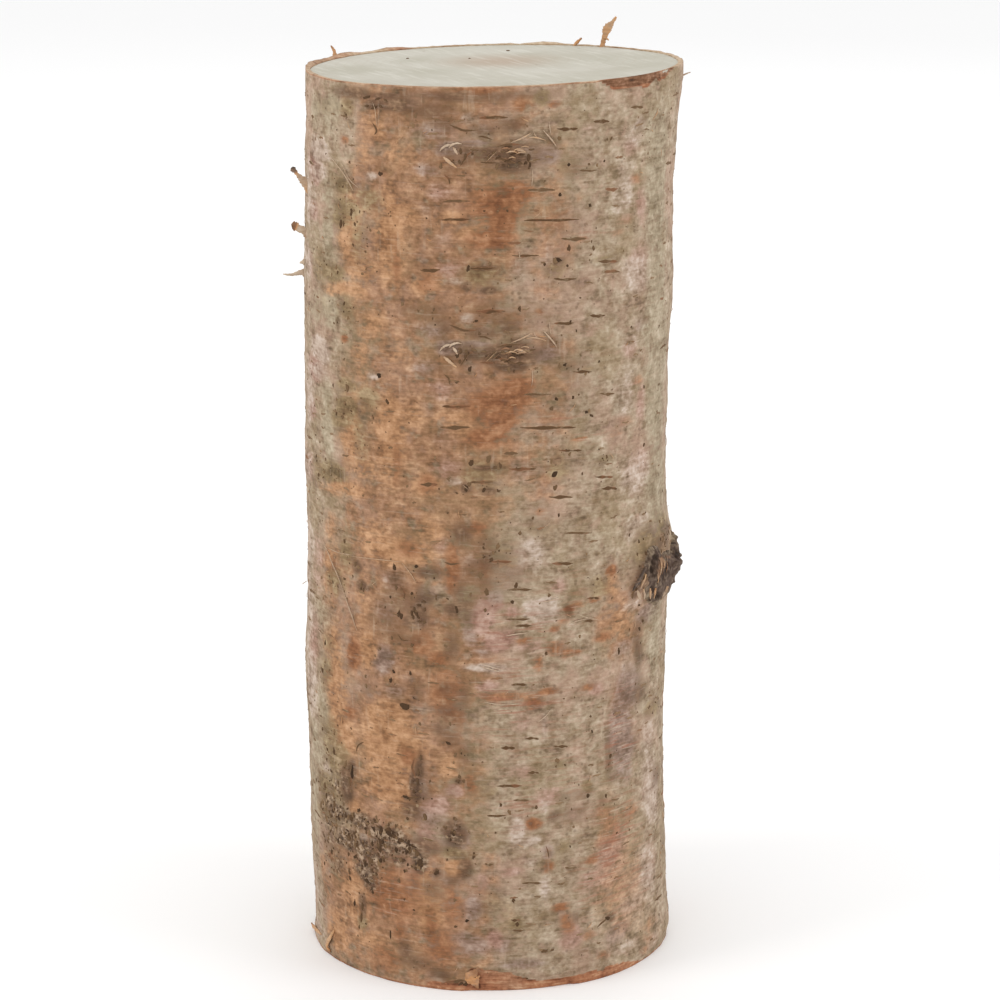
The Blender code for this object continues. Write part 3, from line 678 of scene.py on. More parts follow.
def set_ring_uv(mesh, rings):
    """Unrolls the stack of rings onto one map, with the seam at the last column."""
    columns = len(rings[0])
    profile = []
    for ring in rings:
        middle = ring.mean(axis=0)
        profile.append(middle + [np.abs(ring - middle).mean(), 0, 0])
    steps = np.linalg.norm(np.diff(np.array(profile), axis=0), axis=1)
    along = np.concatenate([[0], np.cumsum(np.maximum(steps, LEAST_MAP_STEP))])
    along = MAP_MARGIN + (1 - 2 * MAP_MARGIN) * along / along[-1]
    layer = mesh.uv_layers.new(name="OFBake")
    count = len(rings) * columns
    for polygon in mesh.polygons:
        on_ring = [index for index in polygon.vertices if index < count]
        on_seam = any(index % columns == columns - 1 for index in on_ring)
        for loop, index in zip(polygon.loop_indices, polygon.vertices):
            if index >= count:
                column = columns - 1 if on_seam else min(corner % columns for corner in on_ring)
                layer.data[loop].uv = ((column + 0.5) / columns, CAP_ROWS[index - count])
                continue
            row, column = divmod(index, columns)
            if column == 0 and on_seam:
                column = columns
            layer.data[loop].uv = (column / columns, along[row])


def add_attribute(mesh, name, values):
    """Gives every point of the mesh a value that the materials can read."""
    attribute = mesh.attributes.new(name, "FLOAT", "POINT")
    attribute.data.foreach_set("value", np.asarray(values, dtype=np.float32))


def new_object(name, data):
    """Puts an object with this data in the scene."""
    thing = bpy.data.objects.new(name, data)
    bpy.context.scene.collection.objects.link(thing)
    return thing


def add_object(name, mesh, material, sharp_degrees=50):
    """Puts a finished mesh in the scene as a piece of the log."""
    mesh.shade_smooth()
    mesh.set_sharp_from_angle(angle=math.radians(sharp_degrees))
    piece = new_object(name, mesh)
    mesh.materials.append(material)
    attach(piece, "root")
    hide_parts("log")
    return piece


def shade_round_rim(columns):
    """How pale the ring of bark round the sawn top is in each direction."""
    shade = np.full(COLUMNS, RIM_SHADE)
    for start, end, share in RIM_SHADES:
        shade += (share - RIM_SHADE) * between(columns, start, end, 12)
    return shade


def shade_below_rim(columns, below):
    """The shade of bare inner bark this far below the rim. The torn place is dark with a paler fringe."""
    tall = torn_tall(columns, TORN_TOP_TALL, TORN_TOP_SHAPE)
    dark, fringe = TORN_TOP_SHADE
    torn = dark + (fringe - dark) * smooth_step(below / (tall + 0.0001), 0.60, 0.95)
    return RIM_LINE_SHADE + (torn - RIM_LINE_SHADE) * smooth_step(tall, 0, TORN_FULL)


def bark_rings(bark):
    """The skin's rings from cap to cap. With each go how bare its inner bark is and how pale that is."""
    columns = bark.degrees[0]
    hidden, bare = np.zeros(COLUMNS), np.ones(COLUMNS)
    foot_shade, rim_shade = np.full(COLUMNS, FOOT_SHADE), shade_round_rim(columns)
    outer_foot, outer_top = bark.radius[0], bark.radius[-1]
    inner_foot, inner_top = bark.smooth[0] - BARK_THICKNESS, bark.smooth[-1] - BARK_THICKNESS
    ragged = RIM_RAGGED * noise_field(columns, np.full(COLUMNS, LOG_HEIGHT), 0.003, 0.01, 31)
    raised = lip(columns) + ragged
    found = [(ring_points(columns, inner_foot, CAP_DEPTH, False), hidden, foot_shade)]
    for share in reversed(RIM_RINGS):
        ring = ring_points(columns, outer_foot + share * (inner_foot - outer_foot), 0.0, False)
        found.append((ring, bare, foot_shade))
    for row in range(ROWS + 1):
        height = bark.height[row, 0]
        ring = ring_points(columns, bark.radius[row], height, True)
        if row == ROWS:
            ring[:, 2] += raised
        bared = np.maximum(smooth_step(bark.torn[row], 0.0002, 0.0008), bark.edge[row])
        shade = shade_below_rim(columns, LOG_HEIGHT - height) if row > ROWS / 2 else foot_shade
        found.append((ring, bared, shade))
    for share in RIM_RINGS:
        ring = ring_points(columns, outer_top + share * (inner_top - outer_top), LOG_HEIGHT, True)
        ring[:, 2] += raised * (1 - share)
        found.append((ring, bare, rim_shade))
    sunk = ring_points(columns, inner_top, LOG_HEIGHT, True)
    sunk[:, 2] -= CAP_DEPTH + WOOD_RECESS
    found.append((sunk, hidden, rim_shade))
    return found


def make_bark(bark, material):
    """The skin of bark: its side, the ring of bark round both cuts, and flat caps under the wood."""
    rings, exposed, fresh = zip(*bark_rings(bark))
    first_cap = np.array([0, 0, CAP_DEPTH])
    last_cap = np.array([0, 0, LOG_HEIGHT - CAP_DEPTH - WOOD_RECESS])
    mesh = stacked_rings_mesh("bark", rings, first_cap, last_cap)
    set_ring_uv(mesh, rings)
    beyond = 1 + len(RIM_RINGS)
    for kind, mask in bark.masks.items():
        padded = np.concatenate([mask[:1]] * beyond + [mask] + [mask[-1:]] * beyond)
        add_attribute(mesh, kind, np.concatenate([padded.ravel(), [0, 0]]))
    add_attribute(mesh, "exposed", np.concatenate([*exposed, [0, 0]]))
    add_attribute(mesh, "fresh", np.concatenate([*fresh, [0, 0]]))
    return add_object("bark", mesh, material)


# The sawn wood: its rings of points, how far it reaches into the bark and down inside it, where the
# pith lies, and the marks of the saw with how many there are to a metre along and across them
WOOD_RINGS = 56
WOOD_OVERLAP = 0.00006
WOOD_DEPTH = 1.2 * CAP_DEPTH
PITH = (0.0024, 0.0097)
SAW_MARK_RISE = 0.00005
SAW_MARK_SCALES = (60, 500)
SAW_TURN = math.radians(67)

# Dark specks of the sawn top: column and row, and half sizes along X and Y in metres
WOOD_SPECKS = ((407.6, 58.4, 0.0005, 0.0014), (508, 50.6, 0.0006, 0.0016), (469.6, 58.4, 0.00035, 0.001))
SPECK_RISE = 0.00012
SPECK_SIDES = 12
SPECK_DOME = ((1, -1), (0.9, 0.3), (0.5, 1))


def saw_marks(ring):
    """The rise of the saw's slanting marks at each point of a ring."""
    along = ring[:, 0] * math.cos(SAW_TURN) - ring[:, 1] * math.sin(SAW_TURN)
    across = ring[:, 0] * math.sin(SAW_TURN) + ring[:, 1] * math.cos(SAW_TURN)
    along_scale, across_scale = SAW_MARK_SCALES
    marks = [noise.noise(Vector((a * along_scale, b * across_scale, 3.3))) for a, b in zip(along, across)]
    return SAW_MARK_RISE * np.array(marks)


def set_disc_uv(mesh, hidden_row, hidden_cap):
    """Lays the disc on the map as seen from above, with its hidden side shrunk to a dot."""
    layer = mesh.uv_layers.new(name="OFBake")
    side = 2.1 * LOG_RADIUS
    for polygon in mesh.polygons:
        hidden = any(index // COLUMNS == hidden_row or index == hidden_cap for index in polygon.vertices)
        spread = 0.02 if hidden else 1.0
        for loop, index in zip(polygon.loop_indices, polygon.vertices):
            x, y, _ = mesh.vertices[index].co
            layer.data[loop].uv = (spread * (x / side + 0.5), spread * (y / side + 0.5))


def make_wood(name, bark, at_top, material):
    """A thin disc of sawn wood inside the ring of bark. Its sawn side is the finished one."""
    columns = bark.degrees[0]
    rim = (bark.smooth[-1] if at_top else bark.smooth[0]) - BARK_THICKNESS + WOOD_OVERLAP
    height = LOG_HEIGHT if at_top else 0.0
    inward = -WOOD_DEPTH if at_top else WOOD_DEPTH
    sunk = ring_points(columns, rim, height, at_top)
    sunk[:, 2] += inward
    rings = [sunk]
    for share in np.linspace(1, 1 / WOOD_RINGS, WOOD_RINGS):
        ring = ring_points(columns, rim * share, height, at_top)
        if at_top:
            ring[:, 2] -= WOOD_RECESS
            ring[:, 2] += saw_marks(ring)
        rings.append(ring)
    middle = np.array([0, 0, height - WOOD_RECESS if at_top else 0.0])
    caps = [middle + [0, 0, inward], middle]
    if not at_top:
        rings.reverse()
        caps.reverse()
    mesh = stacked_rings_mesh(name, rings, *caps)
    hidden_row = 0 if at_top else len(rings) - 1
    set_disc_uv(mesh, hidden_row, len(rings) * COLUMNS + (0 if at_top else 1))
    return add_object(name, mesh, material)


def on_sawn_top(column, row):
    """The point of the sawn top that the photo shows here."""
    direction = photo_direction(column, row)
    slope = math.tan(TOP_SLANT)
    rise = LOG_HEIGHT - WOOD_RECESS + CAMERA_PLACE.x * slope - CAMERA_PLACE.z
    return CAMERA_PLACE + direction * (rise / (direction.z - direction.x * slope))


# Small closed shapes, many to a mesh. Each has a cell of the map, with this share of it as a margin.
CELL_MARGIN = 0.06


def circle(sides):
    """Points round a circle with a radius of 1."""
    angles = [2 * math.pi * side / sides for side in range(sides)]
    return [(math.cos(angle), math.sin(angle)) for angle in angles]


def strewn_place(draw, foot_gap, top_gap):
    """A random place on the bark, at least this far from the foot and from the top."""
    return draw.uniform(-180, 180), draw.uniform(foot_gap, LOG_HEIGHT - top_gap)


def neighbours(line, index):
    """What comes before and after this one on a line, or itself at an end."""
    return line[max(index - 1, 0)], line[min(index + 1, len(line) - 1)]


class JoinedShapes:
    """Small closed shapes lofted through rings of points, collected into one mesh."""

    def __init__(self):
        self.points = []
        self.faces = []
        self.values = {}
        self.shapes = []

    def add(self, rings, **values):
        """Adds one shape. Each value is a number for the whole shape, or a list with one per point."""
        start = len(self.points)
        sides = len(rings[0])
        count = len(rings) * sides
        self.shapes.append((len(self.faces), len(rings), sides))
        for ring in rings:
            self.points += [tuple(point) for point in ring]
        for low in range(start, start + count - sides, sides):
            for side in range(sides):
                following = (side + 1) % sides
                corners = (low + side, low + following, low + sides + following, low + sides + side)
                self.faces.append(corners)
        self.faces.append(tuple(reversed(range(start, start + sides))))
        self.faces.append(tuple(range(start + count - sides, start + count)))
        for name, value in values.items():
            listed = list(value) if hasattr(value, "__len__") else [value] * count
            self.values.setdefault(name, []).extend(listed)

    def make(self, name, material, sharp_degrees):
        mesh = bpy.data.meshes.new(name)
        mesh.from_pydata(self.points, [], self.faces)
        for key, listed in self.values.items():
            add_attribute(mesh, key, listed)
        self.unroll(mesh)
        return add_object(name, mesh, material, sharp_degrees)

    def unroll(self, mesh):
        """Gives each shape its own cell of the map."""
        layer = mesh.uv_layers.new(name="OFBake")
        cells = math.ceil(math.sqrt(len(self.shapes)))
        spread = (1 - 2 * CELL_MARGIN) / cells
        for number, (first_face, rows, sides) in enumerate(self.shapes):
            corner = Vector((number % cells, number // cells)) / cells
            base = corner + Vector((CELL_MARGIN, CELL_MARGIN)) / cells
            for row in range(rows - 1):
                for side in range(sides):
                    polygon = mesh.polygons[first_face + row * sides + side]
                    square = ((row, side), (row, side + 1), (row + 1, side + 1), (row + 1, side))
                    for loop, (u, v) in zip(polygon.loop_indices, square):
                        layer.data[loop].uv = base + Vector((u / (rows - 1), v / sides)) * spread
            first_cap = first_face + (rows - 1) * sides
            for cap, u in (first_cap, 0.0), (first_cap + 1, 1.0):
                for loop in mesh.polygons[cap].loop_indices:
                    layer.data[loop].uv = base + Vector((u, 0.5)) * spread


# Long pores (lenticels) in the photo: left end, right end and row, in pixels
PHOTO_PORES = (
    (479, 508, 118), (557, 578, 130), (594, 610, 124), (631, 643, 110), (579, 597, 172), (527, 555, 191),
    (605, 618, 191), (442, 470, 201), (441, 470, 219), (524, 579, 221), (561, 586, 240), (507, 521, 243),
    (512, 539, 256), (598, 617, 263), (604, 620, 274), (420, 440, 269), (554, 576, 280), (470, 495, 268),
    (476, 505, 311), (554, 574, 324), (590, 605, 317), (524, 551, 395), (573, 592, 373), (600, 614, 395),
    (442, 470, 406), (440, 470, 427), (520, 576, 428), (559, 582, 451), (504, 518, 454), (509, 536, 469),
    (595, 613, 478), (601, 617, 490), (549, 573, 498), (470, 493, 482), (420, 437, 484), (564, 592, 534),
    (489, 512, 562), (552, 573, 564), (507, 532, 590), (587, 599, 599), (505, 530, 619), (515, 532, 626),
    (584, 594, 622), (511, 527, 685), (501, 515, 748), (525, 539, 739), (554, 568, 747), (528, 539, 773),
    (497, 522, 786), (513, 529, 800), (487, 506, 816), (485, 493, 864), (565, 577, 868), (522, 541, 883),
    (511, 520, 920), (511, 525, 930),
)
PORE_STATIONS = 11
PORE_HALF_WIDTH = (0.00048, 0.00080)
PORE_RISE = 0.00016

# The outline of a pore cut across: shares of its half width and rise, and how dark each point is
PORE_SECTION = ((-1, -0.2), (-0.55, 0.9), (0, 0.45), (0.55, 0.9), (1, -0.2), (0, -1.6))
PORE_SLIT = (0, 0.85, 1, 0.9, 0, 0)
CRACK_SECTION = ((-1, -0.4), (-0.55, 0.8), (0, 0.2), (0.55, 0.8), (1, -0.4), (0, -1.6))
CRACK_SLIT = (0, 0.75, 1, 0.8, 0, 0)

# Pores strewn over the log: how many are tried, how long they are and how far apart they stay
STREWN_PORES = 620
STREWN_LENGTH = (0.0016, 0.0052)
PORE_SPACING = 0.0042


def add_pore(shapes, bark, start, end, half_width, tone, draw):
    """One pore: two raised lips with a dark slit between them, pointed at both ends."""
    rings, slit = [], []
    bend, wave = draw.uniform(-0.0002, 0.0002), draw.uniform(0, 6.3)
    ground = bark.look_up(bark.masks["tan"], (start[0] + end[0]) / 2, (start[1] + end[1]) / 2)
    for station in range(PORE_STATIONS):
        along = station / (PORE_STATIONS - 1)
        swell = max(math.sin(math.pi * along) ** 0.55, 0.12) * (0.85 + 0.22 * math.sin(wave + 13 * along))
        open_share = 0.8 + 0.2 * math.sin(2 * wave + 8 * along)
        degrees = start[0] + (end[0] - start[0]) * along
        height = start[1] + (end[1] - start[1]) * along
        height += bend * math.sin(math.pi * along) + 0.00005 * math.sin(wave + 9 * along)
        wide, high = half_width * swell, PORE_RISE * (0.4 + 0.6 * swell)
        rings.append([bark.point(degrees, height + up * wide, out * high) for up, out in PORE_SECTION])
        slit += [share * open_share for share in PORE_SLIT]
    shapes.add(rings, slit=slit, tone=tone, ground=ground)


def make_pores(bark, material):
    """The long pores that the photo shows, and smaller and paler ones strewn between and behind them."""
    shapes = JoinedShapes()
    draw = random.Random(5)
    taken = []
    for left, right, row in PHOTO_PORES:
        start, end = on_photo(left, row), on_photo(right, row)
        half_width = draw.uniform(*PORE_HALF_WIDTH)
        add_pore(shapes, bark, start, end, half_width, draw.uniform(0.65, 1), draw)
        taken.append(((start[0] + end[0]) / 2, (start[1] + end[1]) / 2))
    for _ in range(STREWN_PORES):
        degrees, height = strewn_place(draw, 0.004, 0.006)
        length = draw.uniform(*STREWN_LENGTH)
        tone = draw.uniform(0, 0.9)
        slope = draw.uniform(-0.06, 0.06) * length
        gaps = [math.hypot(arc_gap(degrees, place[0]), 1.6 * (height - place[1])) for place in taken]
        if min(gaps) < PORE_SPACING:
            continue
        shown = -160 < degrees < -20
        turn = math.degrees(length / 2 / LOG_RADIUS) * (0.7 if shown else 1.4)
        half_width = draw.uniform(*PORE_HALF_WIDTH) * (0.6 if shown else 0.95)
        start, end = (degrees - turn, height - slope), (degrees + turn, height + slope)
        tone = 0.6 * tone if shown else 0.3 + 0.7 * tone
        add_pore(shapes, bark, start, end, half_width, tone, draw)
        taken.append((degrees, height))
    return shapes.make("long_pores", material, 30)


# Dark spots in the photo: column, row, half width and half height in pixels
PHOTO_SPOTS = (
    (380, 172, 3, 3), (379, 374, 3, 3), (404, 706, 7, 4), (410, 673, 2, 3), (393, 671, 2, 2),
    (390, 680, 2, 3), (325, 642, 1.6, 3.4), (394, 566, 2, 5), (416, 566, 2, 2), (590, 207, 2, 2),
    (604, 163, 1.5, 1.5), (569, 166, 2, 2), (560, 196, 2, 2), (558, 261, 4, 3), (586, 413, 2, 2),
    (599, 363, 1.5, 1.5), (565, 366, 2, 2), (556, 400, 2, 2), (555, 475, 4, 3), (619, 652, 2, 4),
    (592, 732, 1.5, 2), (588, 796, 2, 2.5), (608, 918, 4, 2.5), (390, 935, 1.5, 6), (448, 743, 3, 2),
    (437, 872, 3, 3), (467, 921, 2, 2), (389, 833, 5, 4), (420, 864, 4, 6), (354, 903, 2, 4),
    (352, 772, 2.5, 8), (367, 881, 4, 3), (412, 845, 6, 1.5), (405, 797, 4, 2),
)
SPOT_RISE = 0.00018

# Bigger crumbs: column, row, half width and half height in pixels, and tone
# The scar crumbs are partly dark bark and partly painted shadow under the scars' flaps and ridges.
SCAR_CRUMBS = (
    (508, 146.4, 4.4, 1, 0.16), (514, 154.2, 4, 0.9, 0.14), (521, 155.4, 3.6, 0.9, 0.16),
    (503, 152, 2.6, 1.4, 0.32), (532, 150, 3.6, 1, 0.28), (498, 158, 3.6, 1.2, 0.2),
    (508, 161, 3.8, 1.2, 0.18), (520, 163.6, 3.4, 1.4, 0.26), (494, 152.6, 2.2, 1.8, 0.3),
    (461, 150.5, 1.6, 3, 0.24), (465.6, 156, 1.6, 3.2, 0.24), (459.6, 161.4, 1.6, 2.6, 0.26),
    (474, 149, 4.2, 1.4, 0.34), (484, 151, 3.6, 1.4, 0.36), (488, 157.6, 2.4, 2, 0.32),
)
SINGLE_CRUMBS = (
    (366, 95, 5, 1.5, 0.2), (377, 96.6, 5, 1.4, 0.22), (385, 98.6, 2.4, 1.2, 0.28),
    (366, 103.6, 3, 1.5, 0.24), (373, 105.2, 4, 1.7, 0.2), (380, 104.4, 2.6, 1.3, 0.26),
    (361, 918, 1.6, 6, 0.24), (362, 906, 1.8, 5, 0.24), (359, 927, 1.6, 3, 0.26),
    (461, 984, 3.6, 2.2, 0.16), (465.6, 985, 2.8, 2.2, 0.14), (456, 982.6, 3, 1.2, 0.28),
    # The six near-black crumbs from (644.4, 568) to (648, 563) lie along the crease below the branch stub as
    # painted shade.
    (644.4, 568, 1.4, 3, 0.14), (642, 573, 1.6, 3.2, 0.1), (639, 578.6, 1.8, 3.2, 0.08),
    (636, 584, 1.8, 3.2, 0.08), (633.6, 589.4, 1.6, 3.2, 0.14), (648, 563, 1.4, 2.6, 0.2),
    (545, 951, 4, 2, 0.26), (552, 950, 2.6, 1.4, 0.28), (414, 609, 2, 3.4, 0.22),
    (419, 604.6, 2.8, 1.6, 0.18), (424, 601, 2.4, 1.5, 0.22), (413, 617, 1.6, 3, 0.22),
    (420, 621, 2.8, 1.4, 0.24), (424.5, 609, 1.2, 2.6, 0.26), (416, 613, 2.8, 3, 0.16),
    (411.4, 613, 1.6, 3.4, 0.2), (418.4, 616.6, 2.2, 1.8, 0.18), (355, 563, 1.8, 3.8, 0.32),
    (361, 584, 2.2, 3.6, 0.34), (363, 589, 1.4, 2, 0.28), (388, 829, 4.6, 3, 0.2), (394, 836, 4, 2.4, 0.18),
    (379, 827, 3.2, 2, 0.24), (401, 840, 3.6, 2.2, 0.2), (351, 768, 1.4, 5, 0.3), (349.6, 781, 1.6, 5, 0.3),
    (421, 757, 1.4, 3.6, 0.26), (418, 772, 1.8, 4.6, 0.26), (417, 781, 1.6, 3.6, 0.24),
    (458, 781, 3, 1.6, 0.24), (455, 832, 1.6, 3, 0.3), (446, 828, 1.4, 2.4, 0.28),
)
CRUMB_RISE = 0.00026
STREWN_SPOTS = 1500
STREWN_SPOT_RISE = 0.00010

# The rings of a crumb: their shares of its half size and of its rise
CRUMB_SIDES = 10
CRUMB_DOME = ((1, -0.8), (0.92, 0.3), (0.45, 1))

# Crumbs that gather in a kind of zone: how many, and the tones they take
CLUSTERED_SPOTS = (
    ("grime", 760, (0.08, 0.14, 0.20, 0.26, 0.34, 0.42, 0.60)),
    ("dark", 420, (0.12, 0.20, 0.28, 0.36)),
    ("olive", 560, (0.18, 0.24, 0.32, 0.40)),
)


def add_spot(shapes, bark, degrees, height, half_round, half_up, rise, tone, draw):
    """One flat crumb: a low dome with a ragged outline."""
    edge = [draw.uniform(0.55, 1.2) for _ in range(CRUMB_SIDES)]
    lean = draw.uniform(-0.4, 0.4)
    rings = []
    for share, out in CRUMB_DOME:
        ring = []
        for reach, (cosine, sine) in zip(edge, circle(CRUMB_SIDES)):
            across = half_round * share * reach * cosine
            up = half_up * share * reach * sine + lean * across
            turn = math.degrees(across / LOG_RADIUS)
            ring.append(bark.point(degrees + turn, height + up, out * rise))
        rings.append(ring)
    shapes.add(rings, tone=tone)


def make_spots(bark, material):
    """The spots and crumbs that the photo shows, and many small ones strewn everywhere or in zones."""
    shapes = JoinedShapes()
    draw = random.Random(23)

    def add_from_photo(column, row, half_width, half_height, rise, tone):
        half_round, half_up = half_width * PHOTO_PIXEL, half_height * PHOTO_PIXEL
        add_spot(shapes, bark, *on_photo(column, row), half_round, half_up, rise, tone, draw)

    for spot in PHOTO_SPOTS:
        add_from_photo(*spot, SPOT_RISE, draw.uniform(0, 0.12))
    for *crumb, tone in SCAR_CRUMBS + again(SCAR_CRUMBS) + SINGLE_CRUMBS:
        add_from_photo(*crumb, CRUMB_RISE, tone)
    for _ in range(STREWN_SPOTS):
        degrees, height = strewn_place(draw, 0.003, 0.004)
        size = 0.00016 + 0.0004 * draw.random() ** 4
        tone = draw.uniform(0.16, 0.48)
        half_up = size * draw.uniform(0.7, 1.4)
        add_spot(shapes, bark, degrees, height, size, half_up, STREWN_SPOT_RISE, tone, draw)
    for kind, count, tones in CLUSTERED_SPOTS:
        added = 0
        while added < count:
            degrees, height = strewn_place(draw, 0.004, 0.006)
            if draw.random() > bark.look_up(bark.masks[kind], degrees, height) ** 1.4:
                continue
            size = 0.00015 + 0.00062 * draw.random() ** 3
            tone = draw.choice(tones)
            half_up = size * draw.uniform(0.7, 1.9)
            rise = draw.uniform(0.00008, 0.00022)
            add_spot(shapes, bark, degrees, height, size, half_up, rise, tone, draw)
            added += 1
    return shapes.make("bark_crumbs", material, 60)


def make_wood_specks(material):
    """Specks of dirt on the sawn top, as low domes."""
    shapes = JoinedShapes()
    for column, row, half_x, half_y in WOOD_SPECKS:
        middle = on_sawn_top(column, row)
        rings = []
        for share, out in SPECK_DOME:
            ring = []
            for cosine, sine in circle(SPECK_SIDES):
                offset = (half_x * share * cosine, half_y * share * sine, out * SPECK_RISE)
                ring.append(middle + Vector(offset))
            rings.append(ring)
        shapes.add(rings, tone=0.25)
    return shapes.make("wood_specks", material, 60)


# Torn strips that stand out beside the trunk: how far along Y they lie, and for each station its
# column and row in the photo, its half width in pixels and its tone
STANDING_STRIPS = (
    (-0.0106, ((291.6, 167.4, 1.2, 0), (292.9, 168.9, 2.9, 0.03), (294.7, 170.9, 2.5, 0.1),
               (296.6, 173.6, 1.7, 0.6), (299.6, 177, 2.7, 0.75), (303.8, 181, 4.4, 0.75),
               (308.5, 186.5, 5.4, 0.65), (314, 195, 4.5, 0.6))),
    (-0.008, ((291.6, 226.5, 2.2, 0.25), (293.2, 226.2, 4.4, 0.3), (295.6, 226.4, 4.7, 0.35),
              (298.6, 227.6, 3.5, 0.85), (303, 230, 4.2, 0.85), (308, 233.5, 5.4, 0.7),
              (314, 238, 4, 0.6))),
    (0.0018, ((283.2, 274, 0.5, 0.95), (288, 274.6, 1.1, 0.95), (293, 274.4, 1.5, 0.95),
              (297, 273.2, 2.1, 0.9), (301, 272.4, 3.2, 0.85), (306, 272.6, 4.6, 0.75),
              (312, 274, 3.5, 0.65))),
    (0.001, ((299.6, 263, 0.5, 0.9), (302.6, 262, 2.4, 0.9), (306, 262.4, 5.2, 0.8), (311, 264, 5, 0.7))),
    (0.0398, ((601.6, 52, 2.5, 0.55), (602.3, 45, 2.6, 0.56), (603.8, 38.5, 2.8, 0.58),
              (605.4, 33, 3.1, 0.58), (607, 28.8, 4.5, 0.6), (609.6, 25.4, 3.8, 0.66),
              (612.2, 22.2, 2, 0.66), (614.4, 19.4, 1.7, 0.6), (616.4, 16.8, 1, 0.5))),
    (0.0394, ((603.4, 38, 1.2, 0.6), (606.4, 38.4, 1.1, 0.6), (608.8, 40.2, 0.5, 0.6))),
    (0.0277, ((335.6, 60, 2.4, 0.5), (335, 55, 2.2, 0.52), (334.3, 51.6, 1.7, 0.55),
              (333, 48.6, 1.3, 0.5), (330.8, 45.6, 0.6, 0.4))),
    (0.0444, ((573.6, 46, 1.4, 0.55), (576.8, 42.8, 1.7, 0.5), (579.4, 40.2, 1.4, 0.45),
              (581.6, 37.8, 0.8, 0.4))),
    (-0.004, ((677, 79, 1, 0.6), (683, 75.2, 0.9, 0.7), (687, 73.4, 0.7, 0.8), (690.5, 72.2, 0.4, 0.8))),
)

# Flaps that lie on the bark: the same, but each station starts with its column and row and ends
# with how far it stands out, in metres
LYING_FLAPS = (
    ((501, 148.8, 0.3, 0.32, 0), (505.4, 147.6, 0.9, 0.36, 0.0002), (509.4, 148.6, 0.4, 0.34, 0)),
    ((506, 153, 0.3, 0.66, 0), (509.6, 151.4, 0.7, 0.68, 0.0003), (513.6, 151.6, 0.6, 0.66, 0.0003),
     (516.6, 153, 0.3, 0.64, 0.0001)),
    ((516, 151.2, 0.3, 0.66, 0), (520.4, 150.4, 0.8, 0.7, 0.0003), (524.6, 151.8, 0.4, 0.66, 0.0001)),
    ((508.6, 158.6, 0.3, 0.62, 0), (512, 157.4, 0.7, 0.66, 0.0002), (515.6, 158.4, 0.3, 0.62, 0.0001)),
    ((520.6, 147.4, 0.3, 0.66, 0), (524.6, 146.6, 0.6, 0.68, 0.0002), (528.4, 147.6, 0.4, 0.66, 0.0001)),
    ((440, 150, 0.5, 0.74, 0), (443, 146.6, 1, 0.8, 0.0003), (447, 144.4, 1.2, 0.84, 0.0004),
     (450.6, 144, 0.6, 0.78, 0.0001)),
    ((449, 146.8, 0.5, 0.74, 0), (452.4, 143.8, 1.1, 0.82, 0.0003), (457.2, 142.4, 0.9, 0.84, 0.0003),
     (461.6, 143.4, 0.4, 0.76, 0)),
    ((453, 146.6, 0.5, 0.72, 0), (455.6, 149.4, 1.3, 0.8, 0.0003), (457.8, 153.4, 0.6, 0.7, 0)),
    ((444, 156, 0.5, 0.66, 0), (447.6, 158.8, 1.5, 0.7, 0.0003), (452, 162.8, 1.2, 0.68, 0.0004),
     (456.4, 166.8, 0.5, 0.6, 0.0001)),
)
FOOT_FLAPS = (
    ((478.6, 966.8, 0.5, 0.4, 0.0003), (476.4, 970.8, 2.4, 0.36, 0.0005),
     (473.6, 974.6, 5.2, 0.42, 0.0007), (471.8, 977.6, 7.6, 0.48, 0.0008), (473, 980.4, 6.4, 0.5, 0.0007),
     (475.4, 984.4, 3.6, 0.46, 0.0005), (478, 989.2, 0.8, 0.4, 0.0003)),
    ((321, 934.4, 0.8, 0.6, 0.0001), (317.6, 930.6, 2.2, 0.6, 0.0003), (315.2, 926.4, 2, 0.56, 0.0006),
     (314.4, 922.6, 0.7, 0.42, 0.0011)),
    ((334.6, 930, 0.8, 0.56, 0.0001), (332, 936.4, 2.4, 0.62, 0.0004), (329.4, 942.6, 2.6, 0.6, 0.0006),
     (329, 947.6, 2, 0.52, 0.0006), (331, 951.6, 1.1, 0.38, 0.0002)),
)
# Torn bark hanging below the stub, with the height off whatever the photo shows there
KNOT_TEETH = (
    ((646, 574, 0.6, 0.62, 0.0001), (643.2, 580.6, 1.3, 0.66, 0.0002), (640.6, 588, 0.6, 0.7, 0.0001)),
    ((637, 590, 0.6, 0.7, 0.0001), (638.4, 594.6, 1.8, 0.8, 0.0002), (639.6, 600, 0.5, 0.78, 0.0001)),
    ((643, 589, 0.6, 0.66, 0.0001), (644, 594, 1.5, 0.76, 0.0002), (643.4, 599.6, 0.4, 0.74, 0.0001)),
    ((649.6, 588, 1, 0.56, 0.0001), (649.6, 593, 1.4, 0.66, 0.0002), (650, 599, 0.4, 0.68, 0.0001)),
    ((667.2, 586, 1.4, 0.62, 0.0001), (664.6, 592, 1.7, 0.76, 0.0002), (660.6, 600, 0.4, 0.74, 0.0001)),
    ((655.4, 588, 0.8, 0.5, 0.0001), (654.6, 592.6, 1, 0.58, 0.0002), (653.8, 598, 0.4, 0.6, 0.0001)),
)

